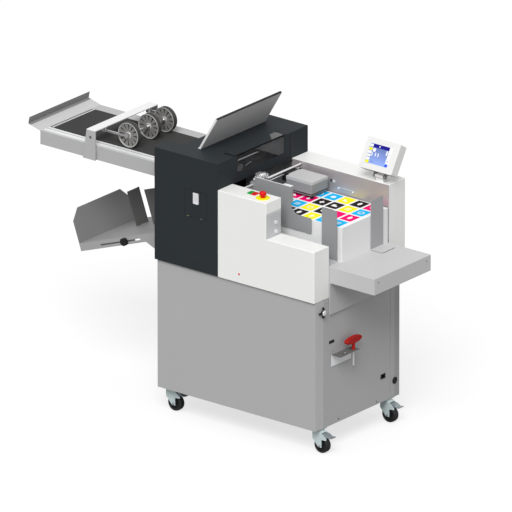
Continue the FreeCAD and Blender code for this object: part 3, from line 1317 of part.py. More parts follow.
def pile_table():
    """Folded sheet table that carries the paper pile."""
    body = new_body("table")
    wall = "Dim.tab_wall"
    long = "(Dim.tab_end - Dim.tab_x)"
    high = "(Dim.tab_top - Dim.tab_low)"
    base = pad(body, sketch_on(body, "XY", [rect("0", "0", long, "Dim.tab_wide")]), high)
    round_edges(
        body, base, wall,
        lambda edge: runs_along(edge, UPWARD) and edge.BoundBox.XMin > dim("tab_wall"),
    )
    hollow = rect(wall, wall, f"{long} - {wall}", f"Dim.tab_wide - {wall}")
    pocket(body, sketch_on(body, "XY", [hollow]), f"{high} - {wall}", True)
    return place(body, "Dim.tab_x", "Dim.tab_y", "Dim.tab_low")


def lift_carriage():
    """Lift carriage: two posts, their yoke, two arms and the apron below the table."""
    skin = "Dim.tab_top - Dim.tab_wall"
    half = "Dim.yoke_half"
    outer = "Dim.apron_x + Dim.apron_thick"
    pieces = [
        span(
            "lift_apron", ("Dim.apron_x", "Dim.apron_y", "Dim.apron_low"),
            (outer, "Dim.apron_y + Dim.apron_wide", "Dim.tab_low"),
        ),
        span(
            "lift_yoke", (f"Dim.post_x - {half}", "Dim.post_front", "Dim.post_low"),
            (f"Dim.post_x + {half}", "Dim.post_back", "Dim.post_low + Dim.yoke_high"),
        ),
    ]
    for name, y_text in (("front", "Dim.post_front"), ("back", "Dim.post_back")):
        pieces.append(
            rod(
                f"lift_post_{name}", "Dim.post_r", f"{skin} - Dim.post_low",
                ("Dim.post_x", y_text, "Dim.post_low"), "Z",
            )
        )
        pieces.append(
            span(
                f"lift_arm_{name}",
                ("Dim.post_x", f"{y_text} - {half}", "Dim.tab_low - Dim.apron_thick"),
                (outer, f"{y_text} + {half}", "Dim.tab_low + Dim.yoke_high"),
            )
        )
    return join("lift_carriage_piece", pieces)


def paper_stack():
    """Pile of printed sheets squared up on the table."""
    body = new_body("pile")
    outline = rect("0", "0", "Dim.pile_long", "Dim.pile_wide")
    base = pad(body, sketch_on(body, "XY", [outline]), "Dim.pile_high")
    round_edges(body, base, "Dim.pile_round", lambda edge: runs_along(edge, UPWARD))
    return place(body, "Dim.pile_x", "Dim.pile_y", "Dim.tab_top")


def side_stop():
    """Sheet angle that squares the front edge of the pile."""
    sheet = "Dim.stop_sheet"
    floor = "Dim.tab_top + Dim.air"
    right = "Dim.side_stop_x + Dim.side_stop_long"
    back = f"Dim.side_stop_y + {sheet}"
    wall = span(
        "side_stop_wall", ("Dim.side_stop_x", "Dim.side_stop_y", floor),
        (right, back, "Dim.side_stop_top"),
    )
    foot = span(
        "side_stop_foot", ("Dim.side_stop_x", f"{back} - Dim.side_stop_foot", floor),
        (right, back, f"{floor} + {sheet}"),
    )
    return join("side_stop_piece", [wall, foot])


def end_stop():
    """Sheet angle that squares the end of the pile, with a rounded foot."""
    sheet = "Dim.stop_sheet"
    floor = "Dim.tab_top + Dim.air"
    back = "Dim.end_stop_y + Dim.end_stop_wide"
    wall = span(
        "end_stop_wall", ("Dim.end_stop_x", "Dim.end_stop_y", floor),
        (f"Dim.end_stop_x + {sheet}", back, "Dim.end_stop_top"),
    )
    body = new_body("end_stop_foot")
    outline = rect("0", "0", "Dim.end_stop_foot", "Dim.end_stop_wide")
    base = pad(body, sketch_on(body, "XY", [outline]), sheet)
    round_edges(
        body, base, "Dim.foot_round",
        lambda edge: runs_along(edge, UPWARD) and edge.BoundBox.XMin > dim("foot_round"),
    )
    place(body, "Dim.end_stop_x", "Dim.end_stop_y", floor)
    return join("end_stop_piece", [wall, body])


def guide_rods():
    """Chrome guide rod and the thin rod below it, held between two end plates."""
    start = "(Dim.hou_y + Dim.hou_deep)"
    gap = f"(Dim.rear_y - {start})"
    low = "(Dim.rod_z - Dim.thin_rod_drop)"
    pieces = [
        rod("guide_rod", "Dim.rod_r", gap, ("Dim.rod_x", start, "Dim.rod_z"), "Y"),
        rod("guide_thin_rod", "Dim.thin_rod_r", gap, ("Dim.rod_x", start, low), "Y"),
    ]
    for name, y_text in (("front", start), ("back", "Dim.rear_y - Dim.stop_sheet")):
        pieces.append(
            span(
                f"guide_end_{name}", ("Dim.rod_x - 2 * Dim.rod_r", y_text, f"{low} - Dim.rod_r"),
                ("Dim.rod_x + 2 * Dim.rod_r", f"{y_text} + Dim.stop_sheet", "Dim.rod_z + Dim.rod_r"),
            )
        )
    return join("guide_rods_piece", pieces)


def rod_bores(name, y_text, long, play):
    """Tools that clear both guide rods through a block."""
    return [
        rod(f"{name}_bore", f"Dim.rod_r + {play}", long, ("Dim.rod_x", y_text, "Dim.rod_z"), "Y"),
        thin_bore(name, y_text, long, play),
    ]


def thin_bore(name, y_text, long, play):
    """Tool that clears the thin rod through a block."""
    start = ("Dim.rod_x", y_text, "Dim.rod_z - Dim.thin_rod_drop")
    return rod(f"{name}_thin_bore", f"Dim.thin_rod_r + {play}", long, start, "Y")


def side_guide():
    """Front side guide: bowed plate with folded edges on a block that slides on the rods."""
    body = new_body("side_guide")
    left, low = "Dim.gui_x", "Dim.gui_low"
    right = f"Dim.gui_right - {left}"
    top = f"Dim.gui_top - {low}"
    step = f"Dim.gui_step - {low}"
    end = f"Dim.gui_ext - {left}"
    outline = [("0", "0"), (end, "0"), (end, step), (right, step), (right, top), ("0", top)]
    base = pad(body, sketch_on(body, "XZ", [outline]), "Dim.gui_sheet", True)
    corner_x = dim("gui_right") - dim("gui_x")
    corner_z = dim("gui_step") - dim("gui_low")
    round_edges(
        body, base, "Dim.gui_bow",
        lambda edge: runs_along(edge, ACROSS)
        and abs(edge.BoundBox.XMin - corner_x) < TINY and abs(edge.BoundBox.ZMin - corner_z) < TINY,
    )
    place(body, left, "Dim.gui_y", low)
    sheet = "Dim.gui_sheet"
    back = f"Dim.gui_y + {sheet}"
    upright = span(
        "guide_side_fold", (f"Dim.gui_right - {sheet}", "Dim.gui_y", f"Dim.gui_step + Dim.gui_bow"),
        ("Dim.gui_right", f"{back} + Dim.gui_flange", "Dim.gui_top"),
    )
    fold = span(
        "guide_top_fold", ("Dim.gui_right - Dim.gui_bow", "Dim.gui_y", f"Dim.gui_top - {sheet}"),
        ("Dim.gui_right", f"{back} + Dim.gui_flange", "Dim.gui_top"),
    )
    block = span(
        "clamp_block", ("Dim.clamp_left", back, "Dim.clamp_low"),
        ("Dim.clamp_right", f"{back} + Dim.clamp_deep", "Dim.clamp_top"),
    )
    start = f"Dim.gui_y - {sheet}"
    tools = rod_bores("clamp", start, "Dim.clamp_deep + 3 * Dim.gui_sheet", "Dim.run_fit")
    tools.append(
        rod(
            "clamp_screw_hole", "Dim.knob_stem_r + Dim.run_fit", "Dim.clamp_top - Dim.rod_z",
            ("Dim.rod_x", f"{back} + Dim.knob_back", "Dim.rod_z"), "Z",
        )
    )
    block = cut("clamp", block, tools)
    return join("side_guide_piece", [body, upright, fold, block])


def clamp_knob():
    """Clamping knob of the side guide: head on its neck, stem and lever."""
    y_text = "Dim.gui_y + Dim.gui_sheet + Dim.knob_back"
    seat = "(Dim.clamp_top + Dim.air)"
    head_low = f"({seat} + Dim.knob_neck)"
    stem_low = "(Dim.rod_z + Dim.rod_r + Dim.air)"
    spot = ("Dim.rod_x", y_text)
    head = rod("knob_head", "Dim.knob_r", "Dim.knob_high", (*spot, head_low), "Z")
    neck = rod("knob_neck", "Dim.knob_neck_r", "Dim.knob_neck", (*spot, seat), "Z")
    stem = rod("knob_stem", "Dim.knob_stem_r", f"{head_low} - {stem_low}", (*spot, stem_low), "Z")
    lever = rod(
        "knob_bar", "Dim.knob_lever_r", "Dim.knob_lever",
        ("Dim.rod_x - Dim.knob_lever", y_text, f"{head_low} + Dim.knob_lever_r"), "X",
    )
    return join("clamp_knob_piece", [head, neck, stem, lever])


def feed_head():
    """Suction feed head hung on the guide rods over the pile."""
    body = new_body("feed_head")
    long = "Dim.head_long"
    high = "(Dim.head_top - Dim.head_low)"
    draw = "Dim.head_draw"
    outline = [(draw, "0"), (f"{long} - {draw}", "0"), (long, high), ("0", high)]
    pad(body, sketch_on(body, "XZ", [outline]), "Dim.head_wide", True)
    place(body, "Dim.head_x", "Dim.head_y", "Dim.head_low")
    back = "Dim.head_y + Dim.head_wide"
    lip_low = "Dim.head_low - Dim.head_lip_gap"
    lip = span(
        "head_lip", ("Dim.head_x + 2 * Dim.head_draw", "Dim.head_y + Dim.head_draw", lip_low),
        (
            "Dim.head_x + Dim.head_long - 2 * Dim.head_draw", f"{back} - Dim.head_draw",
            f"{lip_low} + Dim.head_lip",
        ),
    )
    middle = "Dim.head_x + Dim.head_long / 2"
    post = span(
        "head_post",
        (f"{middle} - Dim.head_post", "Dim.head_y + Dim.head_post", lip_low),
        (f"{middle} + Dim.head_post", f"{back} - Dim.head_post", "Dim.head_low"),
    )
    carrier = span(
        "head_carrier", ("Dim.carrier_left", "Dim.carrier_y", "Dim.carrier_low"),
        ("Dim.carrier_right", "Dim.carrier_y + Dim.carrier_wide", "Dim.carrier_top"),
    )
    bore = thin_bore("carrier", "Dim.carrier_y - Dim.air", "Dim.carrier_wide + 2 * Dim.air", "0")
    return join("feed_head_piece", [body, lip, post, cut("carrier", carrier, [bore])])


def conveyor_frame():
    """Delivery conveyor frame: two lipped rails, two cross beams and the nose bar."""
    left, right = "Dim.con_left", "Dim.con_right"
    front, back = "Dim.con_front", "Dim.con_back"
    low, top = "Dim.con_low", "Dim.con_top"
    web = "Dim.con_web"
    foot = "Dim.con_foot"
    blocks = {
        "front_web": ((left, front, low), (right, f"{front} + {web}", top)),
        "front_ledge": ((left, front, f"{top} - {web}"), (right, f"{front} + Dim.con_ledge", top)),
        "front_foot": ((left, front, low), (right, f"{front} + {foot}", f"{low} + {web}")),
        "back_web": ((left, f"{back} - {web}", low), (right, back, top)),
        "back_ledge": ((left, f"{back} - Dim.con_rear_ledge", f"{top} - {web}"), (right, back, top)),
        "back_foot": ((left, f"{back} - {foot}", low), (right, back, f"{low} + {web}")),
    }
    pieces = [span(f"con_{name}", *corners) for name, corners in blocks.items()]
    for number, x_text in enumerate(("Dim.beam_left", "Dim.beam_right")):
        pieces.append(
            span(
                f"con_beam_{number}", (x_text, front, low),
                (f"{x_text} + Dim.beam_wide", back, f"{low} + {web} + Dim.beam_high"),
            )
        )
    middle = "(Dim.belt_top - Dim.belt_r)"
    nose = ("Dim.belt_right - Dim.belt_r", front, middle)
    pieces.append(rod("con_nose", "Dim.nose_r", f"{back} - {front}", nose, "Y"))
    hole = rod(
        "con_drum_hole", "Dim.drum_journal_r + Dim.run_fit", f"{back} - {front} + 2 * {web}",
        ("Dim.belt_left + Dim.belt_r", f"{front} - {web}", middle), "Y",
    )
    return cut("conveyor_frame_piece", join("con_solid", pieces), [hole])


def stadium(name, radius, start, long):
    """Belt-shaped block between the two belt end axes."""
    middle = "(Dim.belt_top - Dim.belt_r)"
    first = "(Dim.belt_left + Dim.belt_r)"
    last = "(Dim.belt_right - Dim.belt_r)"
    ends = [
        rod(f"{name}_first", radius, long, (first, start, middle), "Y"),
        rod(f"{name}_last", radius, long, (last, start, middle), "Y"),
    ]
    block = box(
        f"{name}_block", (f"{last} - {first}", long, f"2 * ({radius})"),
        (first, start, f"{middle} - ({radius})"),
    )
    return join(name, ends + [block])


def conveyor_belt():
    """Endless flat belt between the rails."""
    start = "(Dim.con_front + Dim.con_ledge + Dim.belt_side)"
    end = "(Dim.con_back - Dim.con_rear_ledge - Dim.belt_side)"
    outer = stadium("belt_outer", "Dim.belt_r", start, f"{end} - {start}")
    inner = stadium(
        "belt_inner", "(Dim.belt_r - Dim.belt_thick)", f"{start} - Dim.belt_side",
        f"{end} - {start} + 2 * Dim.belt_side",
    )
    return cut("conveyor_belt_piece", outer, [inner])


def conveyor_drum():
    """Free belt drum at the outer end of the conveyor."""
    middle = "(Dim.belt_top - Dim.belt_r)"
    x_text = "Dim.belt_left + Dim.belt_r"
    start = "(Dim.con_front + Dim.con_ledge + Dim.belt_side)"
    end = "(Dim.con_back - Dim.con_rear_ledge - Dim.belt_side)"
    drum = rod(
        "drum_shell", "Dim.belt_r - Dim.belt_thick - Dim.drum_play", f"{end} - {start}",
        (x_text, start, middle), "Y",
    )
    shaft = rod(
        "drum_shaft", "Dim.drum_journal_r", "Dim.con_back - Dim.con_front",
        (x_text, "Dim.con_front", middle), "Y",
    )
    return join("conveyor_drum_piece", [drum, shaft])


def end_flap():
    """Bent end plate of the conveyor that stops the delivered sheets."""
    sheet = "Dim.flap_sheet"
    out = "Dim.flap_out"
    rise = "Dim.flap_rise"
    drop = "(Dim.con_low - Dim.con_top)"
    tip = f"{rise} + Dim.flap_lip"
    bend = [
        (f"-{sheet}", drop), ("0", drop), ("0", "0"), (f"{sheet} - {out}", rise),
        (f"{sheet} + Dim.flap_lip_in - {out}", tip), (f"Dim.flap_lip_in - {out}", tip),
        (f"-{out}", f"{rise} - {sheet}"), (f"-{sheet}", f"-{sheet}"),
    ]
    body = sheet_piece("flap", "XZ", [bend], "Dim.flap_back - Dim.flap_front", True)
    return place(body, "Dim.con_left", "Dim.flap_front", "Dim.con_top")


def bridge():
    """Inverted-U bridge over the conveyor with the lugs of the press arms."""
    top, low = "Dim.bri_top", "Dim.bri_low"
    wide = "(Dim.bri_right - Dim.bri_left)"
    high = f"({top} - {low})"
    leg = [("-Dim.bri_flare", "0"), (wide, "0"), (wide, high), ("0", high)]
    hole = ("Dim.bri_hole_in", f"{high} - Dim.bri_hole_down", "Dim.bri_hole_r")
    rear = "(Dim.con_back + Dim.con_front - Dim.bri_front - Dim.bri_leg)"
    shoe = "(Dim.bri_out - Dim.bri_leg - Dim.air)"
    pieces = []
    for name, y_text, shoe_y in (
        ("front", "Dim.bri_front", "Dim.bri_front + Dim.bri_leg"), ("rear", rear, f"{rear} - {shoe}"),
    ):
        body = sheet_piece(f"bridge_leg_{name}", "XZ", [leg, hole], "Dim.bri_leg", True)
        pieces.append(place(body, "Dim.bri_left", y_text, low))
        pieces.append(
            box(
                f"bridge_shoe_{name}", (wide, shoe, "Dim.shoe_high"),
                ("Dim.bri_left", shoe_y, "Dim.con_top - Dim.shoe_down - Dim.shoe_high"),
            )
        )
    pieces.append(
        span(
            "bridge_beam", ("Dim.bri_left", "Dim.bri_front", f"{top} - Dim.bri_leg"),
            ("Dim.bri_right", f"{rear} + Dim.bri_leg", top),
        )
    )
    pieces.append(
        span(
            "bridge_fold",
            ("Dim.bri_left", "Dim.bri_front", f"{top} - 2 * Dim.arm_pin_over - Dim.bri_leg"),
            ("Dim.bri_left + Dim.bri_leg", f"{rear} + Dim.bri_leg", top),
        )
    )
    lug_front = "Dim.arm_front + Dim.arm_thick + Dim.air"
    lug_back = "Dim.arm_back - Dim.air - Dim.bri_lug"
    for name, y_text in (("front", lug_front), ("back", lug_back)):
        pieces.append(
            span(
                f"bridge_lug_{name}",
                ("Dim.arm_x - Dim.arm_pin_over", y_text, "Dim.arm_z - Dim.arm_pin_over"),
                ("Dim.arm_x + Dim.arm_pin_over", f"{y_text} + Dim.bri_lug", top),
            )
        )
    bore = rod(
        "bridge_bore", "Dim.arm_pin_r + Dim.run_fit", "Dim.arm_back - Dim.arm_front",
        ("Dim.arm_x", "Dim.arm_front", "Dim.arm_z"), "Y",
    )
    return cut("bridge_piece", join("bridge_solid", pieces), [bore])


def press_height():
    """Height of the press wheel shaft: the wheels stand just clear of the belt."""
    return "(Dim.belt_top + Dim.air + Dim.press_r)"


def wheel_centres():
    """Middle planes of the three press wheels."""
    return "Dim.press_first", "Dim.press_second", "Dim.press_third"


def press_arm():
    """Two arms, their pivot pins, the wheel shaft and its collars, welded together."""
    height = press_height()
    half = "Dim.arm_half"
    rise = f"({height} - Dim.arm_z)"
    long = "(Dim.press_x - Dim.arm_x)"
    outline = [
        ("0", f"-{half}"), (long, f"{rise} - {half}"), (long, f"{rise} + {half}"), ("0", half),
    ]
    pieces = []
    thick = "Dim.arm_thick"
    for name, y_text in (("front", "Dim.arm_front"), ("back", "Dim.arm_back")):
        body = sheet_piece(f"arm_{name}", "XZ", [outline], thick, True)
        pieces.append(place(body, "Dim.arm_x", y_text, "Dim.arm_z"))
        pieces.append(
            rod(
                f"arm_hub_{name}", "Dim.arm_pin_r + Dim.arm_half / 2", thick,
                ("Dim.arm_x", y_text, "Dim.arm_z"), "Y",
            )
        )
        eye = ("Dim.press_x", y_text, height)
        pieces.append(rod(f"arm_eye_{name}", "Dim.press_collar_r", thick, eye, "Y"))
    over = "(Dim.air + Dim.bri_lug + Dim.air)"
    pieces.append(
        rod(
            "arm_pin_front", "Dim.arm_pin_r", f"{thick} + {over}",
            ("Dim.arm_x", "Dim.arm_front", "Dim.arm_z"), "Y",
        )
    )
    pieces.append(
        rod(
            "arm_pin_back", "Dim.arm_pin_r", f"{thick} + {over}",
            ("Dim.arm_x", f"Dim.arm_back - {over}", "Dim.arm_z"), "Y",
        )
    )
    pieces.append(
        rod(
            "press_shaft", "Dim.press_shaft_r", f"Dim.arm_back + {thick} - Dim.arm_front",
            ("Dim.press_x", "Dim.arm_front", height), "Y",
        )
    )
    edge = "(Dim.press_wide / 2 + Dim.air)"
    for number, centre in enumerate(wheel_centres()):
        for side, y_text in (
            ("near", f"{centre} - {edge} - Dim.press_collar"), ("far", f"{centre} + {edge}")
        ):
            pieces.append(
                rod(
                    f"press_collar_{number}_{side}", "Dim.press_collar_r", "Dim.press_collar",
                    ("Dim.press_x", y_text, height), "Y",
                )
            )
    return join("press_arm_piece", pieces)


def press_wheel(number, centre):
    """Spoked press wheel with a rubber tread."""
    body = new_body(f"press_wheel_{number}")
    radius = "Dim.press_r"
    bore = "Dim.press_shaft_r + Dim.run_fit"
    wide = "Dim.press_wide"
    pad(body, sketch_on(body, "XZ", [("0", "0", radius), ("0", "0", bore)]), wide, middle=True)
    ring = [("0", "0", f"{radius} - Dim.press_rim"), ("0", "0", "Dim.press_hub_r")]
    depth = f"({wide} - Dim.press_web) / 2"
    pocket(body, sketch_on(body, "XZ", ring, f"{wide} / 2"), depth)
    pocket(body, sketch_on(body, "XZ", ring, f"-{wide} / 2"), depth, True)
    half = "Dim.press_slot_wide / 2"
    slot = rect("Dim.press_slot_in", f"-{half}", "Dim.press_slot_out", half)
    spoke = pocket_both(body, sketch_on(body, "XZ", [slot]))
    spokes = body.newObject("PartDesign::PolarPattern", f"{body.Name}_slots")
    spokes.Originals = [spoke]
    spokes.Axis = (axis_of(body, "Y_Axis"), [""])
    spokes.Angle = FULL_TURN
    spokes.setExpression("Occurrences", "Dim.press_slots")
    body.Tip = spokes
    return place(body, "Dim.press_x", centre, press_height())


def tray():
    """Lower delivery tray: sloping floor, end wall, skirts, fence and wall hooks."""
    sheet = "Dim.tray_sheet"
    wide = "Dim.tray_wide"
    long = "Dim.tray_long"
    runners = []
    for y_text in ("Dim.runner_front", "Dim.runner_back"):
        low, high = f"{y_text} - Dim.runner_half", f"{y_text} + Dim.runner_half"
        runners.append(rect("Dim.runner_from", low, "Dim.runner_to", high))
    floor = sheet_piece("tray_floor", "XY", [rect("0", "0", long, wide)] + runners, sheet)
    cham = "Dim.tray_chamfer"
    tall = "Dim.tray_wall"
    outline = [
        ("0", "0"), (wide, "0"), (wide, f"{tall} - {cham}"), (f"{wide} - {cham}", tall),
        (cham, tall), ("0", f"{tall} - {cham}"),
    ]
    wall = sheet_piece("tray_wall", "YZ", [outline], sheet)
    skirt = [
        ("0", "0"), ("0", "-Dim.tray_skirt"), ("Dim.skirt_end", "-Dim.tray_skirt"),
        ("Dim.tongue_start", "-Dim.tongue_drop"), (f"{long} - Dim.tongue_trim", "-Dim.tongue_drop"),
        (long, "0"), (long, sheet), ("0", sheet),
    ]
    slot_low = "-Dim.slot_down - Dim.slot_half"
    slot = rect("Dim.slot_from", slot_low, "Dim.slot_to", f"{slot_low} + 2 * Dim.slot_half")
    near = sheet_piece("tray_skirt_near", "XZ", [skirt, slot], sheet, True)
    far = sheet_piece("tray_skirt_far", "XZ", [skirt], sheet, True)
    shift(far, "0", f"{wide} - {sheet}", "0")
    fence = span(
        "tray_fence", ("Dim.fence_from", "Dim.fence_y", "0"),
        ("Dim.fence_to", f"Dim.fence_y + {sheet}", f"Dim.fence_high + {sheet}"), shift,
    )
    sloped = join("tray_sheet_work", [floor, wall, near, far, fence])
    place(sloped, "Dim.tray_x", "Dim.tray_front", "Dim.tray_z")
    turn(sloped, ACROSS, "-Dim.tray_angle")
    pieces = [sloped]
    edge = "Dim.tow_x"
    outer = "Dim.tray_front + Dim.tray_wide"
    for name, low_y, high_y, wing_low, wing_high in (
        (
            "near", "Dim.tray_front", f"Dim.tray_front + {sheet}",
            "Dim.tray_front - Dim.hook_wing", f"Dim.tray_front + {sheet}",
        ),
        ("far", f"{outer} - {sheet}", outer, f"{outer} - {sheet}", f"{outer} + Dim.hook_wing"),
    ):
        pieces.append(
            span(
                f"tray_hook_{name}", (f"{edge} - Dim.hook_long", low_y, "Dim.hook_low"),
                (edge, high_y, "Dim.hook_top"),
            )
        )
        pieces.append(
            span(
                f"tray_wing_{name}", (f"{edge} - Dim.hook_thick", wing_low, "Dim.hook_low"),
                (edge, wing_high, "Dim.hook_top"),
            )
        )
    return join("tray_piece", pieces)


def on_tray(thing):
    """Give a piece built in the tray's own frame the tray's place and slope."""
    place(thing, "Dim.tray_x", "Dim.tray_front", "Dim.tray_z")
    return turn(thing, ACROSS, "-Dim.tray_angle")


def tray_gate():
    """Adjustable sheet stop: plate above the floor, tongues, runner bar and stud below."""
    sheet = "Dim.tray_sheet"
    left = "Dim.gate_x"
    back = "Dim.gate_front + Dim.gate_wide"
    floor = f"{sheet} + Dim.air"
    plate = span(
        "gate_plate", (left, "Dim.gate_front", floor),
        (f"{left} + {sheet}", back, f"{floor} + Dim.gate_high"), shift,
    )
    pieces = [plate]
    for name, y_text in (("front", "Dim.runner_front"), ("back", "Dim.runner_back")):
        half = "(Dim.runner_half - Dim.air)"
        pieces.append(
            span(
                f"gate_tongue_{name}", (left, f"{y_text} - {half}", "-Dim.gate_drop"),
                (f"{left} + Dim.gate_tongue", f"{y_text} + {half}", f"{floor} + {sheet}"), shift,
            )
        )
    far = "Dim.runner_back + Dim.runner_half"
    pieces.append(
        span(
            "gate_bar", (left, "Dim.runner_front - Dim.runner_half", "-Dim.gate_drop"),
            ("Dim.gate_stud_x + Dim.gate_arm_half", far, "Dim.gate_bar - Dim.gate_drop"), shift,
        )
    )
    pieces.append(
        span(
            "gate_arm",
            ("Dim.gate_stud_x - Dim.gate_arm_half", f"{sheet} + Dim.air", "-Dim.gate_arm_down"),
            ("Dim.gate_stud_x + Dim.gate_arm_half", far, "Dim.gate_bar - Dim.gate_drop"), shift,
        )
    )
    pieces.append(
        rod(
            "gate_stud", "Dim.gate_stud_r", "Dim.gate_stud_out + 2 * Dim.gate_arm_half",
            ("Dim.gate_stud_x", "-Dim.gate_stud_out", "-Dim.slot_down"), "Y", shift,
        )
    )
    return on_tray(join("tray_gate_piece", pieces))


def gate_knob():
    """Round clamping knob of the tray stop, on the stud outside the skirt."""
    thick = "Dim.gate_knob_thick"
    back = ("Dim.gate_stud_x", f"-{thick} - Dim.air", "-Dim.slot_down")
    head = rod("gate_knob_head", "Dim.gate_knob_r", thick, back, "Y", shift)
    bore = rod(
        "gate_knob_bore", "Dim.gate_stud_r + Dim.run_fit", "2 * Dim.gate_stud_out",
        ("Dim.gate_stud_x", "-Dim.gate_stud_out - Dim.air", "-Dim.slot_down"), "Y", shift,
    )
    return on_tray(cut("gate_knob_piece", head, [bore]))


def build_all():
    """Build every piece of the machine and list it for export."""
    keep("cabinet_shell", cabinet_shell())
    keep("side_panel", side_panel())
    keep("cabinet_door", cabinet_door())
    keep("wing_latch", wing_latch())
    keep("power_inlet", power_inlet())
    keep("adjusting_tool", tool())
    casters()
    tower_covers()
    keep("access_hatch", access_hatch())
    keep("paddle_latch", paddle_latch())
    keep("window_lid", window_lid())
    keep("top_lid", top_lid())
    keep("inner_frame", inner_frame())
    upper, lower = roller_heights()
    keep("feed_roller_upper", feed_roller("upper_roller", upper))
    keep("feed_roller_lower", feed_roller("lower_roller", lower))
    keep("crease_beam", crease_beam())
    keep("front_housing", front_housing())
    start, stop = key_lefts()
    keep("start_key", top_key("start_key", start))
    keep("stop_key", top_key("stop_key", stop))
    keep("estop_disc", estop_disc())
    keep("estop_button", estop())
    keep("side_key_upper", side_key("side_key_a", "Dim.side_key_upper"))
    keep("side_key_lower", side_key("side_key_b", "Dim.side_key_lower"))
    keep("rear_housing", rear_housing())
    keep("display", display())
    keep("pile_table", pile_table())
    keep("lift_carriage", lift_carriage())
    keep("paper_stack", paper_stack())
    keep("side_stop", side_stop())
    keep("end_stop", end_stop())
    keep("guide_rods", guide_rods())
    keep("side_guide", side_guide())
    keep("clamp_knob", clamp_knob())
    keep("feed_head", feed_head())
    keep("conveyor_frame", conveyor_frame())
    keep("conveyor_belt", conveyor_belt())
    keep("conveyor_drum", conveyor_drum())
    keep("end_flap", end_flap())
    keep("bridge_frame", bridge())
    keep("press_arm", press_arm())
    for number, centre in enumerate(wheel_centres(), start=1):
        keep(f"press_wheel_{number}", press_wheel(number, centre))
    keep("tray", tray())
    keep("tray_gate", tray_gate())
    keep("gate_knob", gate_knob())


def check_all():
    """Stop if any object failed or any piece is empty or not valid."""
    for thing in DOC.Objects:
        if "Invalid" in thing.State or "Error" in thing.State:
            raise RuntimeError(f"{thing.Name} did not build: {thing.State}")
    for name, thing in PARTS.items():
        shape = thing.Shape
        if shape.isNull() or not shape.isValid() or not shape.Solids:
            raise RuntimeError(f"{name} has no valid solid")


build_all()
DOC.recompute()
check_all()
os.makedirs("parts", exist_ok=True)
for part_name, part_thing in PARTS.items():
    part_thing.Shape.exportStep(f"parts/{part_name}.step")
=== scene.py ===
import json
import math
import bmesh
import bpy
from mathutils import Matrix, Vector


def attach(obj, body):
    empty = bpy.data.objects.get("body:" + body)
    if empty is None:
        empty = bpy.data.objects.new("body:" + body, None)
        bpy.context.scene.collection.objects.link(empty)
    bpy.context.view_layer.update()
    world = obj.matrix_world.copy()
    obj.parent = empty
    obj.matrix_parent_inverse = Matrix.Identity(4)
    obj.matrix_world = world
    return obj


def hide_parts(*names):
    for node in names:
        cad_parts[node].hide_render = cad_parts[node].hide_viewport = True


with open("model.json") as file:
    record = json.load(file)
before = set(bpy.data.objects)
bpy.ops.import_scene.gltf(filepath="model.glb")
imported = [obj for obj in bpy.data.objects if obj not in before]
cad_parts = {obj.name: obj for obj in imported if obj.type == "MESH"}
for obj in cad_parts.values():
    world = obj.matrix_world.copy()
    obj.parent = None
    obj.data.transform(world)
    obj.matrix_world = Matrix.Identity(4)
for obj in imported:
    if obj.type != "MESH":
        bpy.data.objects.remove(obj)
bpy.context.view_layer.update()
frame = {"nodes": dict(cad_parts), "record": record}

# Lengths below are in millimetres, counted from the cabinet's front left corner on the floor,
# as in the part's own drawing. ORIGIN is that corner in the shared frame.
ORIGIN = Vector((-167.5, -313.0, 0.0))
MM = 0.001
SCENE = bpy.context.scene
NODES = frame["nodes"]
SLOT_OF = {piece["node"]: piece["material_slot"] for piece in frame["record"]["subparts"]}

# Faces and levels of the machine that the trims sit on.
FRONT_FACE = -9.0
RIGHT_FACE = 897.0
REAR_WALL = 516.0
KEY_WALL = 626.7
PANE_BACK = 343.1
BRACKET_TOP = 447.0
TABLE_TOP = 866.58
PILE_TOP = 1027.5
BELT_END_TOP = 1130.9
TOWER_TOP = 1254.0
PANE_TOP = 1258.5

# Places and slopes of the leaning pieces, and the swivel pins of the casters.
LID_AXIS = Vector((164.4, 0.0, 1259.1))
LID_LONG = 187.0
LID_ANGLE = math.radians(59.2)
TRAY_CORNER = Vector((-535.0, 107.0, 635.0))
TRAY_ANGLE = math.radians(19.6)
DISPLAY_FOOT = Vector((741.0, 500.0, 1188.0))
DISPLAY_TILT = math.radians(30.5)
CASTERS = {
    "front_left": (32.0, 58.0), "front_right": (865.0, 58.0),
    "rear_left": (32.0, 542.0), "rear_right": (865.0, 542.0),
}


def at(x, y, z):
    """A point of the drawing as a point of the shared frame, in metres."""
    return (Vector((x, y, z)) + ORIGIN) * MM


def along(axis, value):
    """One coordinate of the drawing in the shared frame, in metres."""
    return (value + ORIGIN["xyz".index(axis)]) * MM


# ---------------------------------------- materials

GLOSS_SPREAD = 0.15
BUMP_STRENGTH = 0.5
DUST_START = 0.62
DUST_FULL = 0.72
DUST_SHADE = 1.6
HAZE_SCALE = 30.0
GLASS_ROUGH = (0.10, 0.16)
SCREEN_GLOW = 0.35
SCREEN_DOTS = 0.06
DOT_SCALE = 700.0
SCREEN_ROUGH = 0.12


def node(tree, kind, inputs=None, **props):
    """Add a shader node, with its properties and with its inputs set or linked."""
    made = tree.nodes.new("ShaderNode" + kind)
    for key, value in props.items():
        setattr(made, key, value)
    for key, value in (inputs or {}).items():
        if isinstance(value, bpy.types.NodeSocket):
            tree.links.new(value, made.inputs[key])
        else:
            made.inputs[key].default_value = value
    return made


def math_node(tree, operation, first, second=0.0):
    made = node(tree, "Math", {0: first, 1: second}, operation=operation)
    return made.outputs[0]


def mix_colour(tree, factor, first, second, blend="MIX"):
    made = node(
        tree, "Mix", {0: factor, 6: first, 7: second}, data_type="RGBA", blend_type=blend
    )
    return made.outputs[2]


def mix_value(tree, factor, first, second):
    return node(tree, "Mix", {0: factor, 2: first, 3: second}).outputs[0]


def rgba(colour):
    return (colour[0], colour[1], colour[2], 1.0)


def shade(colour, factor):
    return rgba([min(1.0, value * factor) for value in colour])


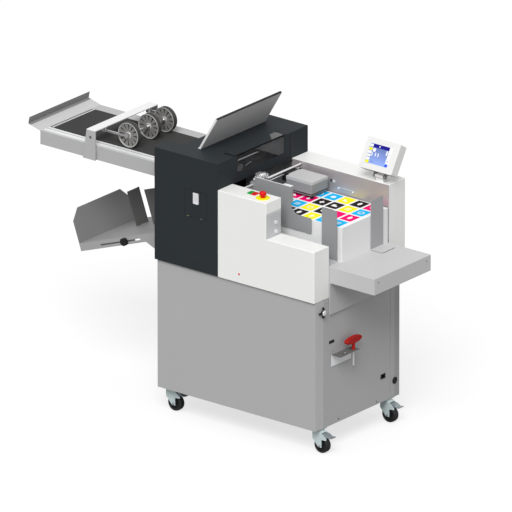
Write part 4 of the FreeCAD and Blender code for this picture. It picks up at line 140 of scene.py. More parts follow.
def new_material(name):
    material = bpy.data.materials.new(name)
    material.use_nodes = True
    tree = material.node_tree
    tree.nodes.clear()
    return material, tree


def finish_material(tree, shader):
    output = node(tree, "OutputMaterial")
    tree.links.new(shader, output.inputs["Surface"])


def band(tree, position, axis, low, high):
    """Mask that is 1 between two places along one axis."""
    value = position.outputs["XYZ".index(axis.upper())]
    above = math_node(tree, "GREATER_THAN", value, along(axis, low))
    below = math_node(tree, "LESS_THAN", value, along(axis, high))
    return math_node(tree, "MULTIPLY", above, below)


def slant_band(tree, coords, direction, low, high):
    """Mask that is 1 between two places along a slanting direction."""
    way = Vector(direction).normalized()
    value = node(
        tree, "VectorMath", {0: coords, 1: way}, operation="DOT_PRODUCT"
    ).outputs["Value"]
    shift = ORIGIN.dot(way)
    above = math_node(tree, "GREATER_THAN", value, (low + shift) * MM)
    below = math_node(tree, "LESS_THAN", value, (high + shift) * MM)
    return math_node(tree, "MULTIPLY", above, below)


def region_mask(tree, coords, position, limits):
    """Mask that is 1 inside a box given by limits on some of the axes."""
    mask = None
    for axis, limit in limits.items():
        if axis == "slant":
            part = slant_band(tree, coords, *limit)
        else:
            part = band(tree, position, axis, *limit)
        mask = part if mask is None else math_node(tree, "MULTIPLY", mask, part)
    return mask


class Finish:
    """One finish: colour, gloss and the small unevenness of the real surface."""

    def __init__(self, colour, rough, metal=0.0, **more):
        self.colour = colour
        self.rough = rough
        self.metal = metal
        self.vary = more.get("vary", 0.03)
        self.patch = more.get("patch", 4.0)
        self.grain = more.get("grain", 1100.0)
        self.depth = more.get("depth", 0.00003)
        self.level = more.get("level", 0.5)
        self.stretch = more.get("stretch", (1.0, 1.0, 1.0))
        self.speck = more.get("speck", 0.0)
        self.weave = more.get("weave", 0.0)


def surface(name, base, regions=()):
    """Procedural material of one finish, with other finishes inside some boxes."""
    material, tree = new_material(name)
    coords = node(tree, "TexCoord").outputs["Object"]
    position = node(tree, "SeparateXYZ", {0: coords})
    mapped = node(tree, "Mapping", {"Vector": coords, "Scale": base.stretch}).outputs[0]
    patch = node(tree, "TexNoise", {"Vector": coords, "Scale": base.patch, "Detail": 3.0})
    grain = node(tree, "TexNoise", {"Vector": mapped, "Scale": base.grain, "Detail": 2.0})
    low = shade(base.colour, 1 - base.vary)
    high = shade(base.colour, 1 + base.vary)
    colour = mix_colour(tree, patch.outputs[0], low, high)
    dull = min(1.0, base.rough * (1 + GLOSS_SPREAD))
    rough = mix_value(tree, grain.outputs[0], base.rough * (1 - GLOSS_SPREAD), dull)
    metal = base.metal
    if base.speck:
        dust = node(
            tree, "MapRange",
            {0: grain.outputs[0], 1: DUST_START, 2: DUST_FULL, 3: 0.0, 4: base.speck},
        ).outputs[0]
        colour = mix_colour(tree, dust, colour, shade(base.colour, DUST_SHADE))
    for limits, other in regions:
        mask = region_mask(tree, coords, position, limits)
        colour = mix_colour(tree, mask, colour, rgba(other.colour))
        rough = mix_value(tree, mask, rough, other.rough)
        metal = mix_value(tree, mask, metal, other.metal)
    height = grain.outputs[0]
    if base.weave:
        warp, weft = (
            node(tree, "TexWave", {"Vector": coords, "Scale": base.weave}, bands_direction=way)
            for way in "XY"
        )
        cloth = math_node(tree, "MULTIPLY", warp.outputs[1], weft.outputs[1])
        height = math_node(tree, "ADD", height, cloth)
    bump = node(
        tree, "Bump", {"Strength": BUMP_STRENGTH, "Distance": base.depth, "Height": height}
    )
    shader = node(
        tree, "BsdfPrincipled",
        {
            "Base Color": colour, "Roughness": rough, "Metallic": metal,
            "Normal": bump.outputs[0], "Specular IOR Level": base.level,
        },
    )
    finish_material(tree, shader.outputs[0])
    return material


def smoked_glass(name, tint, body, share):
    """Grey acrylic: mostly tinted see-through, with a share of dark glossy body."""
    material, tree = new_material(name)
    coords = node(tree, "TexCoord").outputs["Object"]
    haze = node(tree, "TexNoise", {"Vector": coords, "Scale": HAZE_SCALE, "Detail": 2.0})
    rough = mix_value(tree, haze.outputs[0], *GLASS_ROUGH)
    clear = node(tree, "BsdfTransparent", {"Color": rgba(tint)})
    dark = node(tree, "BsdfPrincipled", {"Base Color": rgba(body), "Roughness": rough})
    mixed = node(tree, "MixShader", {0: share, 1: clear.outputs[0], 2: dark.outputs[0]})
    finish_material(tree, mixed.outputs[0])
    return material


def glow(name, low, high, bottom, top):
    """Lit screen whose colour runs up the display from one tone to another."""
    material, tree = new_material(name)
    coords = node(tree, "TexCoord").outputs["Object"]
    position = node(tree, "SeparateXYZ", {0: coords})
    ramp = node(
        tree, "MapRange",
        {0: position.outputs[2], 1: bottom * MM, 2: top * MM, 3: 0.0, 4: 1.0},
    )
    dots = node(tree, "TexNoise", {"Vector": coords, "Scale": DOT_SCALE, "Detail": 1.0})
    colour = mix_colour(tree, ramp.outputs[0], rgba(low), rgba(high))
    colour = mix_colour(tree, SCREEN_DOTS, colour, dots.outputs[1], "OVERLAY")
    shader = node(
        tree, "BsdfPrincipled",
        {
            "Base Color": colour, "Roughness": SCREEN_ROUGH, "Emission Color": colour,
            "Emission Strength": SCREEN_GLOW,
        },
    )
    finish_material(tree, shader.outputs[0])
    return material


STEEL = dict(metal=1.0, vary=0.05, patch=9.0, stretch=(6.0, 0.6, 6.0), grain=260.0, depth=0.00002)
F = {
    "cabinet_grey": Finish((0.42, 0.42, 0.425), 0.55, level=0.25, vary=0.025, speck=0.04),
    "tower_black": Finish((0.0235, 0.029, 0.033), 0.6, level=0.12, vary=0.06, speck=0.05),
    "housing_white": Finish((0.85, 0.855, 0.835), 0.42, level=0.3, vary=0.012),
    "light_grey": Finish((0.54, 0.54, 0.545), 0.5, level=0.25, vary=0.02, speck=0.03),
    "rail_grey": Finish((0.45, 0.45, 0.452), 0.42, level=0.3, vary=0.02),
    # Painted shade: light grey darkened for the lift carriage's apron under the table.
    "apron_shaded_grey": Finish((0.46, 0.46, 0.465), 0.5, level=0.25, vary=0.02, speck=0.03),
    "sheet_grey": Finish((0.29, 0.295, 0.305), 0.45, level=0.35, vary=0.03),
    # The rear wall's grey sheet, with a pink tint painted in as the reflection of the printed
    # pile.
    "wall_grey_and_reflection": Finish((0.49, 0.455, 0.47), 0.28, metal=0.35, level=0.5, vary=0.03),
    # Painted shade: a darker copy of the feed head's light grey, for its sides.
    "head_side_shade": Finish((0.31, 0.31, 0.312), 0.45, level=0.3, vary=0.03),
    "tray_floor": Finish((0.36, 0.36, 0.365), 0.45, level=0.35, vary=0.03),
    # Painted shade: a darker copy of the tray's grey, for its end wall and far skirt.
    "tray_wall": Finish((0.245, 0.245, 0.248), 0.5, level=0.3, vary=0.05),
    # Very dark grey of the gate, the tray's slot line and the fence edge; also painted shade on
    # the tool bracket's top and painted light in the patch on the window's top film.
    "gate_grey_and_painted_light": Finish((0.13, 0.129, 0.127), 0.5, level=0.3, vary=0.05),
    "lid_grey": Finish((0.48, 0.482, 0.483), 0.42, level=0.3, vary=0.03),
    "door_wrap": Finish((0.49, 0.49, 0.495), 0.55, level=0.25, vary=0.025),
    "post_grey": Finish((0.35, 0.35, 0.353), 0.55, level=0.25, vary=0.025),
    # Painted light: a lighter copy of sheet grey for the end stop's upright.
    "stop_grey_lit": Finish((0.37, 0.37, 0.38), 0.45, level=0.35, vary=0.03),
    # Painted light: a lighter band on the top of the conveyor's front rail.
    "lit_band_grey": Finish((0.53, 0.53, 0.532), 0.42, level=0.3, vary=0.02),
    # Dark grey: painted shade on the display's underside and the stem's right side; also the dark
    # grey of the flap's lip, the sheet and bearing behind the side pane, and the hinge line.
    "dark_grey_and_shade": Finish((0.23, 0.23, 0.23), 0.45, level=0.3, vary=0.04),
    # Painted light: a lighter copy of the bridge's grey, for its top face.
    "bridge_top_lit": Finish((0.80, 0.80, 0.80), 0.42, level=0.3, vary=0.02),
    # Near-white tone: a painted highlight on the conveyor's lip bands, the side guide's top flange
    # and the tool bracket; also the narrow bright strips on the lid, at the belt's end and on the
    # rear wall.
    "bright_trim_and_highlight": Finish((0.80, 0.81, 0.82), 0.35, 0.1),
    "bare_steel": Finish((0.66, 0.66, 0.67), 0.32, **STEEL),
    "shaft_steel": Finish((0.80, 0.80, 0.81), 0.30, metal=0.3, vary=0.03),
    "dark_steel": Finish((0.06, 0.06, 0.06), 0.4, metal=0.4, vary=0.08),
    "zinc": Finish((0.60, 0.70, 0.71), 0.38, metal=0.15, vary=0.06, patch=24.0),
    "pedal_zinc": Finish((0.32, 0.36, 0.38), 0.34, metal=0.5, vary=0.10, patch=40.0),
    "chrome": Finish((0.88, 0.88, 0.89), 0.16, metal=0.75, vary=0.02, depth=0.000005),
    "bronze": Finish((0.42, 0.34, 0.22), 0.4, metal=0.3),
    "tyre": Finish((0.012, 0.0125, 0.014), 0.6, level=0.4, vary=0.15, patch=30.0, speck=0.08),
    "tread": Finish((0.045, 0.044, 0.043), 0.65, level=0.4, vary=0.10, patch=25.0, speck=0.06),
    "wheel_disc": Finish((0.20, 0.196, 0.188), 0.45, level=0.3, vary=0.05, patch=14.0),
    "rim_silver": Finish((0.56, 0.56, 0.55), 0.35, metal=0.3, vary=0.05),
    "roller_rubber": Finish((0.03, 0.03, 0.03), 0.6, vary=0.1),
    "belt": Finish(
        (0.050, 0.0495, 0.049), 0.8, level=0.1, vary=0.08, patch=6.0, weave=420.0, depth=0.00012
    ),
    "paper": Finish((0.78, 0.78, 0.785), 0.75, level=0.15, vary=0.015, patch=8.0),
    "print_white": Finish((0.90, 0.90, 0.90), 0.7, level=0.15, vary=0.01, patch=8.0),
    "display_white": Finish((0.76, 0.76, 0.75), 0.4, level=0.3, vary=0.01),
    "green_key": Finish((0.004, 0.33, 0.05), 0.35, level=0.3, vary=0.04),
    "red_key": Finish((0.66, 0.004, 0.004), 0.35, level=0.25, vary=0.04),
    "tool_red": Finish((0.36, 0.009, 0.007), 0.5, level=0.2, vary=0.07, patch=20.0),
    "yellow_disc": Finish((0.92, 0.85, 0.005), 0.45, level=0.2, vary=0.02),
    "black_plastic": Finish((0.010, 0.010, 0.011), 0.4, level=0.3, vary=0.1),
    "silver_key": Finish((0.82, 0.83, 0.84), 0.25, metal=0.25, vary=0.03),
    "cyan": Finish((0.0, 0.50, 0.92), 0.6, level=0.1, vary=0.03),
    "magenta": Finish((0.92, 0.001, 0.17), 0.6, level=0.1, vary=0.03),
    "yellow": Finish((0.98, 0.90, 0.01), 0.6, level=0.1, vary=0.03),
    "ink": Finish((0.014, 0.010, 0.008), 0.6, level=0.1, vary=0.08),
    "plate_silver": Finish((0.54, 0.55, 0.56), 0.4, metal=0.15, vary=0.04),
    "icon_dark": Finish((0.09, 0.09, 0.09), 0.5, vary=0.05),
    "screen_steel": Finish((0.16, 0.26, 0.52), 0.2, level=0.2, vary=0.02),
    "screen_navy": Finish((0.004, 0.002, 0.24), 0.2, level=0.2, vary=0.04),
    "screen_white": Finish((0.90, 0.90, 0.94), 0.2, level=0.2, vary=0.02),
    "screen_yellow": Finish((0.92, 0.88, 0.02), 0.2, level=0.2, vary=0.02),
    "screen_blue": Finish((0.01, 0.09, 0.75), 0.2, level=0.2, vary=0.04),
}
MATERIAL = {name: surface(name, finish) for name, finish in F.items()}
MATERIAL["smoked"] = smoked_glass("smoked", (0.86, 0.865, 0.875), (0.05, 0.05, 0.052), 0.20)
MATERIAL["screen_field"] = glow(
    "screen_field", (0.22, 0.32, 0.68), (0.10, 0.15, 0.36), 1208.0, 1272.0
)

# Nodes whose finish isn't their slot's own, or whose one solid shows more than one finish:
# a base finish, and boxes or slanting bands of other finishes.
LID_WAY = (math.cos(LID_ANGLE), 0.0, math.sin(LID_ANGLE))
LID_TIP = LID_AXIS.dot(Vector(LID_WAY)) + LID_LONG
TRAY_WAY = (math.cos(TRAY_ANGLE), 0.0, math.sin(TRAY_ANGLE))
TRAY_START = TRAY_CORNER.dot(Vector(TRAY_WAY))
DISPLAY_UP = (0.0, math.sin(DISPLAY_TILT), math.cos(DISPLAY_TILT))
DISPLAY_LOW = DISPLAY_FOOT.dot(Vector(DISPLAY_UP))
FAR_DOWN = -5000.0
SPECIAL = {
    "feed_head": (
        "light_grey",
        [
            # Painted shade: the feed head's sides below its top are painted darker than the top.
            ({"z": (1000, 1095.2)}, "head_side_shade"), ({"x": (0, 431)}, "black_plastic"),
            ({"z": (0, 1038)}, "dark_steel"),
        ],
    ),
    "conveyor_frame": (
        "rail_grey",
        [
            # Painted light and shade on the front rail's top: a lighter band, two highlight strips
            # and a dark line of painted shade by the belt stand in for the light and shade of the
            # lip's steps.
            ({"y": (90, 113), "z": (1129.5, 1140)}, "lit_band_grey"),
            ({"y": (113, 135), "z": (1129.5, 1140)}, "bright_trim_and_highlight"),
            ({"y": (143, 157), "z": (1129.5, 1140)}, "bright_trim_and_highlight"),
            ({"y": (157, 159), "z": (1129.5, 1140)}, "black_plastic"),
            ({"x": (30, 70), "y": (110, 508)}, "dark_steel"),
        ],
    ),
    "cabinet_door": ("cabinet_grey", [({"x": (896.5, 900), "y": (-20, 62)}, "door_wrap")]),
    "cabinet_shell": ("cabinet_grey", [({"x": (896, 900), "y": (565, 602)}, "post_grey")]),
    "end_flap": ("light_grey", [({"x": (-830, -801)}, "dark_grey_and_shade")]),
    "tray": (
        "tray_floor",
        [
            # Painted shade: the tray's end wall and far skirt are painted darker than its floor.
            ({"slant": (TRAY_WAY, FAR_DOWN, TRAY_START + 2.05)}, "tray_wall"),
            ({"y": (500, 540)}, "tray_wall"),
            ({"y": (319.9, 322.1), "x": (-400, 0)}, "gate_grey_and_painted_light"),
        ],
    ),
    "tray_gate": ("gate_grey_and_painted_light", []),
    "top_lid": (
        "lid_grey",
        [
            ({"slant": (LID_WAY, LID_TIP - 1.9, LID_TIP + 5.0)}, "black_plastic"),
            ({"y": (80, 90.6)}, "bright_trim_and_highlight"),
        ],
    ),
    "access_hatch": (
        "tower_black",
        [
            ({"x": (176, 192), "z": (971, 975.2)}, "bronze"),
            ({"x": (250, 266), "z": (971, 975.2)}, "bronze"),
        ],
    ),
    "inner_frame": (
        "bare_steel", [({"x": (320, 344), "y": (92, 527), "z": (1210, 1238)}, "black_plastic")],
    ),
    # Painted shade: the lift carriage's apron is a darkened grey.
    "lift_carriage": ("apron_shaded_grey", []),
    "power_inlet": ("black_plastic", []),
    "paddle_latch": ("silver_key", []),
    "front_housing": (
        "housing_white", [({"x": (625, 630), "z": (960, 1081.5), "y": (-8, 95)}, "plate_silver")],
    ),
    "rear_housing": (
        "housing_white",
        [
            # The wall behind the pile: its grey, with a painted pink reflection.
            ({"y": (510, 518.6), "z": (700, 1131)}, "wall_grey_and_reflection"),
            # Painted shade: the right side of the display's white stem is painted dark grey.
            ({"x": (863.8, 870), "z": (1133, 1200)}, "dark_grey_and_shade"),
        ],
    ),
    "display": (
        # Painted shade: the display's underside and lugs are painted dark grey.
        "display_white", [({"slant": (DISPLAY_UP, FAR_DOWN, DISPLAY_LOW + 0.3)}, "dark_grey_and_shade")],
    ),
    # Painted light: the bridge's top face is painted lighter than its sides.
    "bridge_frame": ("rail_grey", [({"z": (1200.5, 1210)}, "bridge_top_lit")]),
    "guide_rods": ("chrome", [({"y": (508, 520)}, "wall_grey_and_reflection")]),
    # Painted highlight: the side guide's top flange is painted near-white.
    "side_guide": ("sheet_grey", [({"z": (1158.6, 1170)}, "bright_trim_and_highlight")]),
    # Painted light: the end stop's upright is a lighter copy of sheet grey, and the feet of both
    # stops are painted a lighter grey for the light on their tops.
    "end_stop": ("stop_grey_lit", [({"z": (860, 870.5)}, "light_grey")]),
    "side_stop": ("sheet_grey", [({"z": (860, 870.5)}, "light_grey")]),
    "side_panel": (
        "cabinet_grey",
        [
            # Painted light and shade on the tool bracket, which has the panel's own grey: its body
            # is painted near-white and its top, under the table, painted dark.
            ({"x": (897.6, 960), "z": (380, 444.5)}, "bright_trim_and_highlight"),
            ({"x": (897.6, 960), "z": (444.5, 460)}, "gate_grey_and_painted_light"),
        ],
    ),
}
for corner_name in CASTERS:
    SPECIAL[f"caster_brake_{corner_name}"] = ("pedal_zinc", [])
REPLACED = {f"press_wheel_{number}" for number in (1, 2, 3)}
REPLACED |= {f"caster_wheel_{corner_name}" for corner_name in CASTERS}
REPLACED |= {"wing_latch", "clamp_knob", "adjusting_tool"}
WELD_GAP = 0.01 * MM
SOFT_EDGE = 0.6 * MM
SHARP_ANGLE = math.radians(40)


def dress(name, thing):
    """Give a carried node its material and the soft edges of bent sheet."""
    if name in SPECIAL:
        base, regions = SPECIAL[name]
        made = surface(f"{name}_finish", F[base], [(box, F[other]) for box, other in regions])
    else:
        made = MATERIAL[SLOT_OF[name]]
    thing.data.materials.clear()
    thing.data.materials.append(made)
    thing.data.polygons.foreach_set("use_smooth", [True] * len(thing.data.polygons))
    weld = thing.modifiers.new("weld", "WELD")
    weld.merge_threshold = WELD_GAP
    bevel = thing.modifiers.new("edge", "BEVEL")
    bevel.width = SOFT_EDGE
    bevel.segments = 2
    bevel.limit_method = "ANGLE"
    bevel.angle_limit = SHARP_ANGLE
    even = thing.modifiers.new("even", "WEIGHTED_NORMAL")
    even.weight = 100
    even.keep_sharp = False


for node_name, carried in NODES.items():
    if node_name not in REPLACED:
        dress(node_name, carried)


# ---------------------------------------- mesh pieces

ON_AXIS = 1e-6

# Local x, y and z of a face as directions of the frame: z points out of the face.
WAYS = {
    "front": ((1, 0, 0), (0, 0, 1), (0, -1, 0)),
    "back": ((-1, 0, 0), (0, 0, 1), (0, 1, 0)),
    "right": ((0, 1, 0), (0, 0, 1), (1, 0, 0)),
    "top": ((1, 0, 0), (0, 1, 0), (0, 0, 1)),
    "under": ((1, 0, 0), (0, -1, 0), (0, 0, -1)),
}


def seat(x, y, z, way):
    """Matrix from a local drawing, whose third axis points out of a face, to the shared frame."""
    columns = [Vector(axis) * MM for axis in WAYS[way]]
    matrix = Matrix.Identity(4)
    for number, column in enumerate(columns):
        for row in range(3):
            matrix[row][number] = column[row]
    matrix.translation = at(x, y, z)
    return matrix


# Outlines drawn over y and z and pushed out along x.
SIDEWAYS = Matrix((
    (0.0, 0.0, MM, 0.0), (MM, 0.0, 0.0, 0.0), (0.0, MM, 0.0, 0.0), (0.0, 0.0, 0.0, 1.0),
))


def rounded(wide, high, radius, steps=5, centre=(0.0, 0.0)):
    """Outline of a rounded rectangle about a centre."""
    points = []
    corners = ((1, 1, 0), (-1, 1, 90), (-1, -1, 180), (1, -1, 270))
    for side_x, side_y, start in corners:
        middle_x = centre[0] + side_x * (wide / 2 - radius)
        middle_y = centre[1] + side_y * (high / 2 - radius)
        for step in range(steps + 1):
            angle = math.radians(start + 90 * step / steps)
            reach_x = radius * math.cos(angle)
            reach_y = radius * math.sin(angle)
            points.append((middle_x + reach_x, middle_y + reach_y))
    return points


def ring_points(radius, count):
    """Points evenly round a circle."""
    turns = [math.tau * step / count for step in range(count)]
    return [(radius * math.cos(turn), radius * math.sin(turn)) for turn in turns]


def lobed(radius, depth, lobes, count):
    """Outline of a hand knob with rounded lobes."""
    points = []
    for step in range(count):
        angle = math.tau * step / count
        reach = radius - depth * (0.5 - 0.5 * math.cos(lobes * angle)) ** 2
        points.append((reach * math.cos(angle), reach * math.sin(angle)))
    return points


class Piece:
    """A mesh drawn in local millimetres and kept in the shared frame."""

    def __init__(self, name):
        self.name = name
        self.mesh = bmesh.new()
        self.materials = []

    def paint(self, faces, material):
        if material not in self.materials:
            self.materials.append(material)
        index = self.materials.index(material)
        for face in faces:
            face.material_index = index

    def prism(self, outline, low, high, matrix, material, draft=0.0):
        """Extrude an outline between two heights; draft pulls the top edge in."""
        centre_x = sum(point[0] for point in outline) / len(outline)
        centre_y = sum(point[1] for point in outline) / len(outline)
        rings = []
        for height, shrink in ((low, 0.0), (high, draft)):
            ring = []
            for x, y in outline:
                reach = math.hypot(x - centre_x, y - centre_y)
                factor = 1 - shrink / reach if reach > shrink else 1.0
                point = Vector((
                    centre_x + (x - centre_x) * factor, centre_y + (y - centre_y) * factor, height,
                ))
                ring.append(self.mesh.verts.new(matrix @ point))
            rings.append(ring)
        faces = []
        count = len(outline)
        for step in range(count):
            after = (step + 1) % count
            faces.append(self.mesh.faces.new(
                (rings[0][step], rings[0][after], rings[1][after], rings[1][step])
            ))
        faces.append(self.mesh.faces.new(rings[1]))
        faces.append(self.mesh.faces.new(list(reversed(rings[0]))))
        self.paint(faces, material)
        return self

    def lathe(self, profile, matrix, material, count=48):
        """Turn a profile of (radius, height) about the local third axis."""
        rings = []
        for radius, height in profile:
            if radius < ON_AXIS:
                rings.append([self.mesh.verts.new(matrix @ Vector((0, 0, height)))])
                continue
            rings.append([
                self.mesh.verts.new(matrix @ Vector((x, y, height)))
                for x, y in ring_points(radius, count)
            ])
        faces = []
        for first, second in zip(rings, rings[1:]):
            for step in range(count):
                after = (step + 1) % count
                corners = [first[step % len(first)], first[after % len(first)]]
                corners += [second[after % len(second)], second[step % len(second)]]
                unique = []
                for corner in corners:
                    if corner not in unique:
                        unique.append(corner)
                if len(unique) > 2:
                    faces.append(self.mesh.faces.new(unique))
        self.paint(faces, material)
        return self

    def finish(self, body, slot, replaced=(), bevel=0.0, smooth=35.0):
        """Make the object, let it ride on its body and hide the parts it replaces; the slot is not
        used.
        """
        bmesh.ops.recalc_face_normals(self.mesh, faces=self.mesh.faces)
        data = bpy.data.meshes.new(self.name)
        self.mesh.to_mesh(data)
        self.mesh.free()
        thing = bpy.data.objects.new(self.name, data)
        SCENE.collection.objects.link(thing)
        for material in self.materials:
            data.materials.append(MATERIAL[material])
        data.polygons.foreach_set("use_smooth", [True] * len(data.polygons))
        if bevel:
            rim = thing.modifiers.new("edge", "BEVEL")
            rim.width = bevel * MM
            rim.segments = 2
            rim.limit_method = "ANGLE"
            rim.angle_limit = math.radians(smooth)
            rim.harden_normals = True
        else:
            split = thing.modifiers.new("split", "EDGE_SPLIT")
            split.split_angle = math.radians(smooth)
        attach(thing, body)
        if replaced:
            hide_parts(*replaced)


# A screw's finish that isn't a slot of its own stands in this slot.
SCREW_SLOT = {"dark_steel": "bare_steel"}


def screw(name, body, x, y, z, way, radius, proud, material):
    """Round screw head with a socket in it."""
    profile = [
        (0.0, 0.4 * proud), (0.45 * radius, 0.4 * proud), (0.5 * radius, proud),
        (0.8 * radius, proud), (radius, 0.6 * proud), (radius, -0.2),
    ]
    piece = Piece(name).lathe(profile, seat(x, y, z, way), material, 24)
    piece.finish(body, SCREW_SLOT.get(material, material))


# ---------------------------------------- press wheels

PRESS_X = -300.0
PRESS_Z = 1191.1
PRESS_PLACES = (177.0, 320.0, 430.0)
PRESS_R = 58.0
PRESS_WIDE = 27.0
PRESS_BORE = 7.05
SLOTS = 12
SLOT_RADII = (14.0, 24.0, 49.0, 54.0)
SLOT_WIDTHS = (1.6, 1.6, 8.6, 1.6)
BLADE_STEPS = (0.35, 0.5, 0.65)
WEB_HALF = 9.5
BACKING_HALF = 7.0


def wheel_web(piece, matrix):
    """Disc of the wheel, with a narrow wedge slot between each two of its blades."""
    levels = (-WEB_HALF, WEB_HALF)
    gap = math.tau / SLOTS
    stops = 2 + len(BLADE_STEPS)
    grid = {}
    for level in levels:
        for number, (radius, wide) in enumerate(zip(SLOT_RADII, SLOT_WIDTHS)):
            half_angle = wide / radius / 2
            offsets = [-half_angle, half_angle] + [gap * share for share in BLADE_STEPS]
            for slot in range(SLOTS):
                for step, offset in enumerate(offsets):
                    angle = math.tau * slot / SLOTS + offset
                    point = Vector((radius * math.cos(angle), radius * math.sin(angle), level))
                    key = (level, number, slot * stops + step)
                    grid[key] = piece.mesh.verts.new(matrix @ point)
    faces = []

    def quad(*keys):
        faces.append(piece.mesh.faces.new([grid[key] for key in keys]))

    for number in range(len(SLOT_RADII) - 1):
        outward = number + 1
        for step in range(SLOTS * stops):
            after = (step + 1) % (SLOTS * stops)
            is_slot = number == 1 and step % stops == 0
            if not is_slot:
                for level in levels:
                    quad(
                        (level, number, step), (level, number, after),
                        (level, outward, after), (level, outward, step),
                    )
                continue
            corners = ((number, step), (outward, step), (outward, after), (number, after))
            for inner, outer in (
                (corners[0], corners[1]), (corners[2], corners[3]),
                (corners[3], corners[0]), (corners[1], corners[2]),
            ):
                quad(
                    (-WEB_HALF, *inner), (-WEB_HALF, *outer),
                    (WEB_HALF, *outer), (WEB_HALF, *inner),
                )
    piece.paint(faces, "wheel_disc")


def press_wheel(number, y):
    """Press wheel: grooved tread on a bright rim, slotted disc over a dark backing, hubs."""
    piece = Piece(f"press_wheel_dressed_{number}")
    axle = seat(PRESS_X, y, PRESS_Z, "front")
    edge = PRESS_WIDE / 2
    tread = [
        (55.0, -edge + 2), (57.4, -edge + 1.6), (PRESS_R, -edge + 3.0),
        (PRESS_R, -3.5), (56.4, -2.6), (56.4, 0.4), (PRESS_R, 1.3), (PRESS_R, edge - 3.0),
        (57.4, edge - 1.6), (55.0, edge - 2),
    ]
    piece.lathe(tread, axle, "tread", 72)
    rim = [
        (57.0, -edge + 1.7), (56.4, -edge - 0.1), (54.2, -edge + 0.2), (53.4, -edge + 1.6),
        (53.2, -9.0), (54.4, -6.0), (54.4, 6.0), (53.2, 9.0), (53.4, edge - 1.6),
        (54.2, edge - 0.2), (56.4, edge + 0.1), (57.0, edge - 1.7),
    ]
    piece.lathe(rim, axle, "rim_silver", 72)
    wheel_web(piece, axle)
    backing = [
        (16.0, -BACKING_HALF), (51.0, -BACKING_HALF), (51.0, BACKING_HALF), (16.0, BACKING_HALF),
    ]
    piece.lathe(backing, axle, "black_plastic", 48)
    for side in (-1, 1):
        hub = [
            (15.5, side * 9.4), (14.6, side * 11.0), (11.0, side * 11.6), (10.6, side * 13.0),
            (PRESS_BORE, side * 13.2), (PRESS_BORE, side * 9.4),
        ]
        piece.lathe(hub, axle, "rim_silver", 36)
    piece.finish(f"press_{number}", "press_wheel", [f"press_wheel_{number}"])


for wheel_number, wheel_y in enumerate(PRESS_PLACES, 1):
    press_wheel(wheel_number, wheel_y)


# ---------------------------------------- caster wheels

CASTER_R = 37.5
CASTER_HALF = 15.5
CASTER_BORE = 5.06
CASTER_TRAIL = 28.0
FORK_HALF = 24.0


def caster_wheel(place, x, y):
    """Caster wheel: round tyre on a dished core."""
    piece = Piece(f"caster_wheel_dressed_{place}")
    axle = seat(x, y, CASTER_R, "front")
    half = CASTER_HALF
    tyre = [
        (29.0, -half + 1.5), (31.0, -half), (34.0, -half + 0.3), (36.6, -half + 3.0),
        (CASTER_R, -half + 8.0), (CASTER_R, half - 8.0), (36.6, half - 3.0),
        (34.0, half - 0.3), (31.0, half), (29.0, half - 1.5),
    ]
    piece.lathe(tyre, axle, "tyre", 64)
    core = [
        (29.2, -half + 1.4), (27.0, -half + 2.0), (25.0, -half + 6.0), (12.0, -half + 6.5),
        (10.0, -half + 2.0), (CASTER_BORE, -half + 2.0), (CASTER_BORE, half - 2.0),
        (10.0, half - 2.0), (12.0, half - 6.5), (25.0, half - 6.0), (27.0, half - 2.0),
        (29.2, half - 1.4),
    ]
    piece.lathe(core, axle, "black_plastic", 48)
    piece.finish(f"wheel_{place}", "caster_tyre", [f"caster_wheel_{place}"])


def caster_bolt(place, x, y, side_name, way):
    """Six-sided head of the axle bolt on one side of the fork."""
    Piece(f"caster_bolt_{place}_{side_name}").lathe(
        [(0.0, 3.0), (3.6, 3.0), (5.2, 2.2), (5.6, 0.4), (5.6, -0.2)],
        seat(x, y, CASTER_R, way), "bare_steel", 6,
    ).finish(f"swivel_{place}", "zinc")


for caster_place, (caster_x, caster_y) in CASTERS.items():
    axle_x = caster_x + CASTER_TRAIL
    caster_wheel(caster_place, axle_x, caster_y)
    caster_bolt(caster_place, axle_x, caster_y - FORK_HALF, "near", "front")
    caster_bolt(caster_place, axle_x, caster_y + FORK_HALF, "far", "back")


# ---------------------------------------- latch, knob and tool

def wing_latch():
    """Quarter-turn latch: black wing with an arm to the front, under a silver button."""
    piece = Piece("wing_latch_dressed")
    hub = seat(RIGHT_FACE, 50.0, 665.0, "right")
    black = "black_plastic"
    piece.lathe(
        [(0.0, 4.0), (8.0, 4.0), (9.6, 3.0), (10.0, 1.6), (10.0, 0.05), (0.0, 0.05)],
        hub, black, 40,
    )
    piece.prism(rounded(9.0, 52.0, 4.0), 3.0, 10.0, hub, black, 0.8)
    piece.prism(rounded(32.0, 9.0, 4.0, centre=(-14.0, 0.0)), 3.2, 9.0, hub, black, 0.8)
    piece.lathe([(0.0, 11.0), (7.5, 11.0), (7.5, 3.5), (0.0, 3.5)], hub, black, 32)
    piece.lathe(
        [(0.0, 15.6), (8.0, 15.2), (12.0, 13.8), (13.0, 12.4), (12.4, 11.0), (0.0, 11.0)],
        hub, "silver_key", 40,
    )
    piece.lathe([(0.0, 0.1), (4.95, 0.1), (4.95, -14.0), (0.0, -14.0)], hub, "bare_steel", 32)
    piece.prism(rounded(12.0, 22.0, 3.0, centre=(0.0, 6.0)), -13.9, -10.0, hub, "bare_steel")
    piece.finish("latch", "bare_steel", ["wing_latch"], bevel=0.4)


KNOB_X = 404.0
KNOB_LOBES = 7


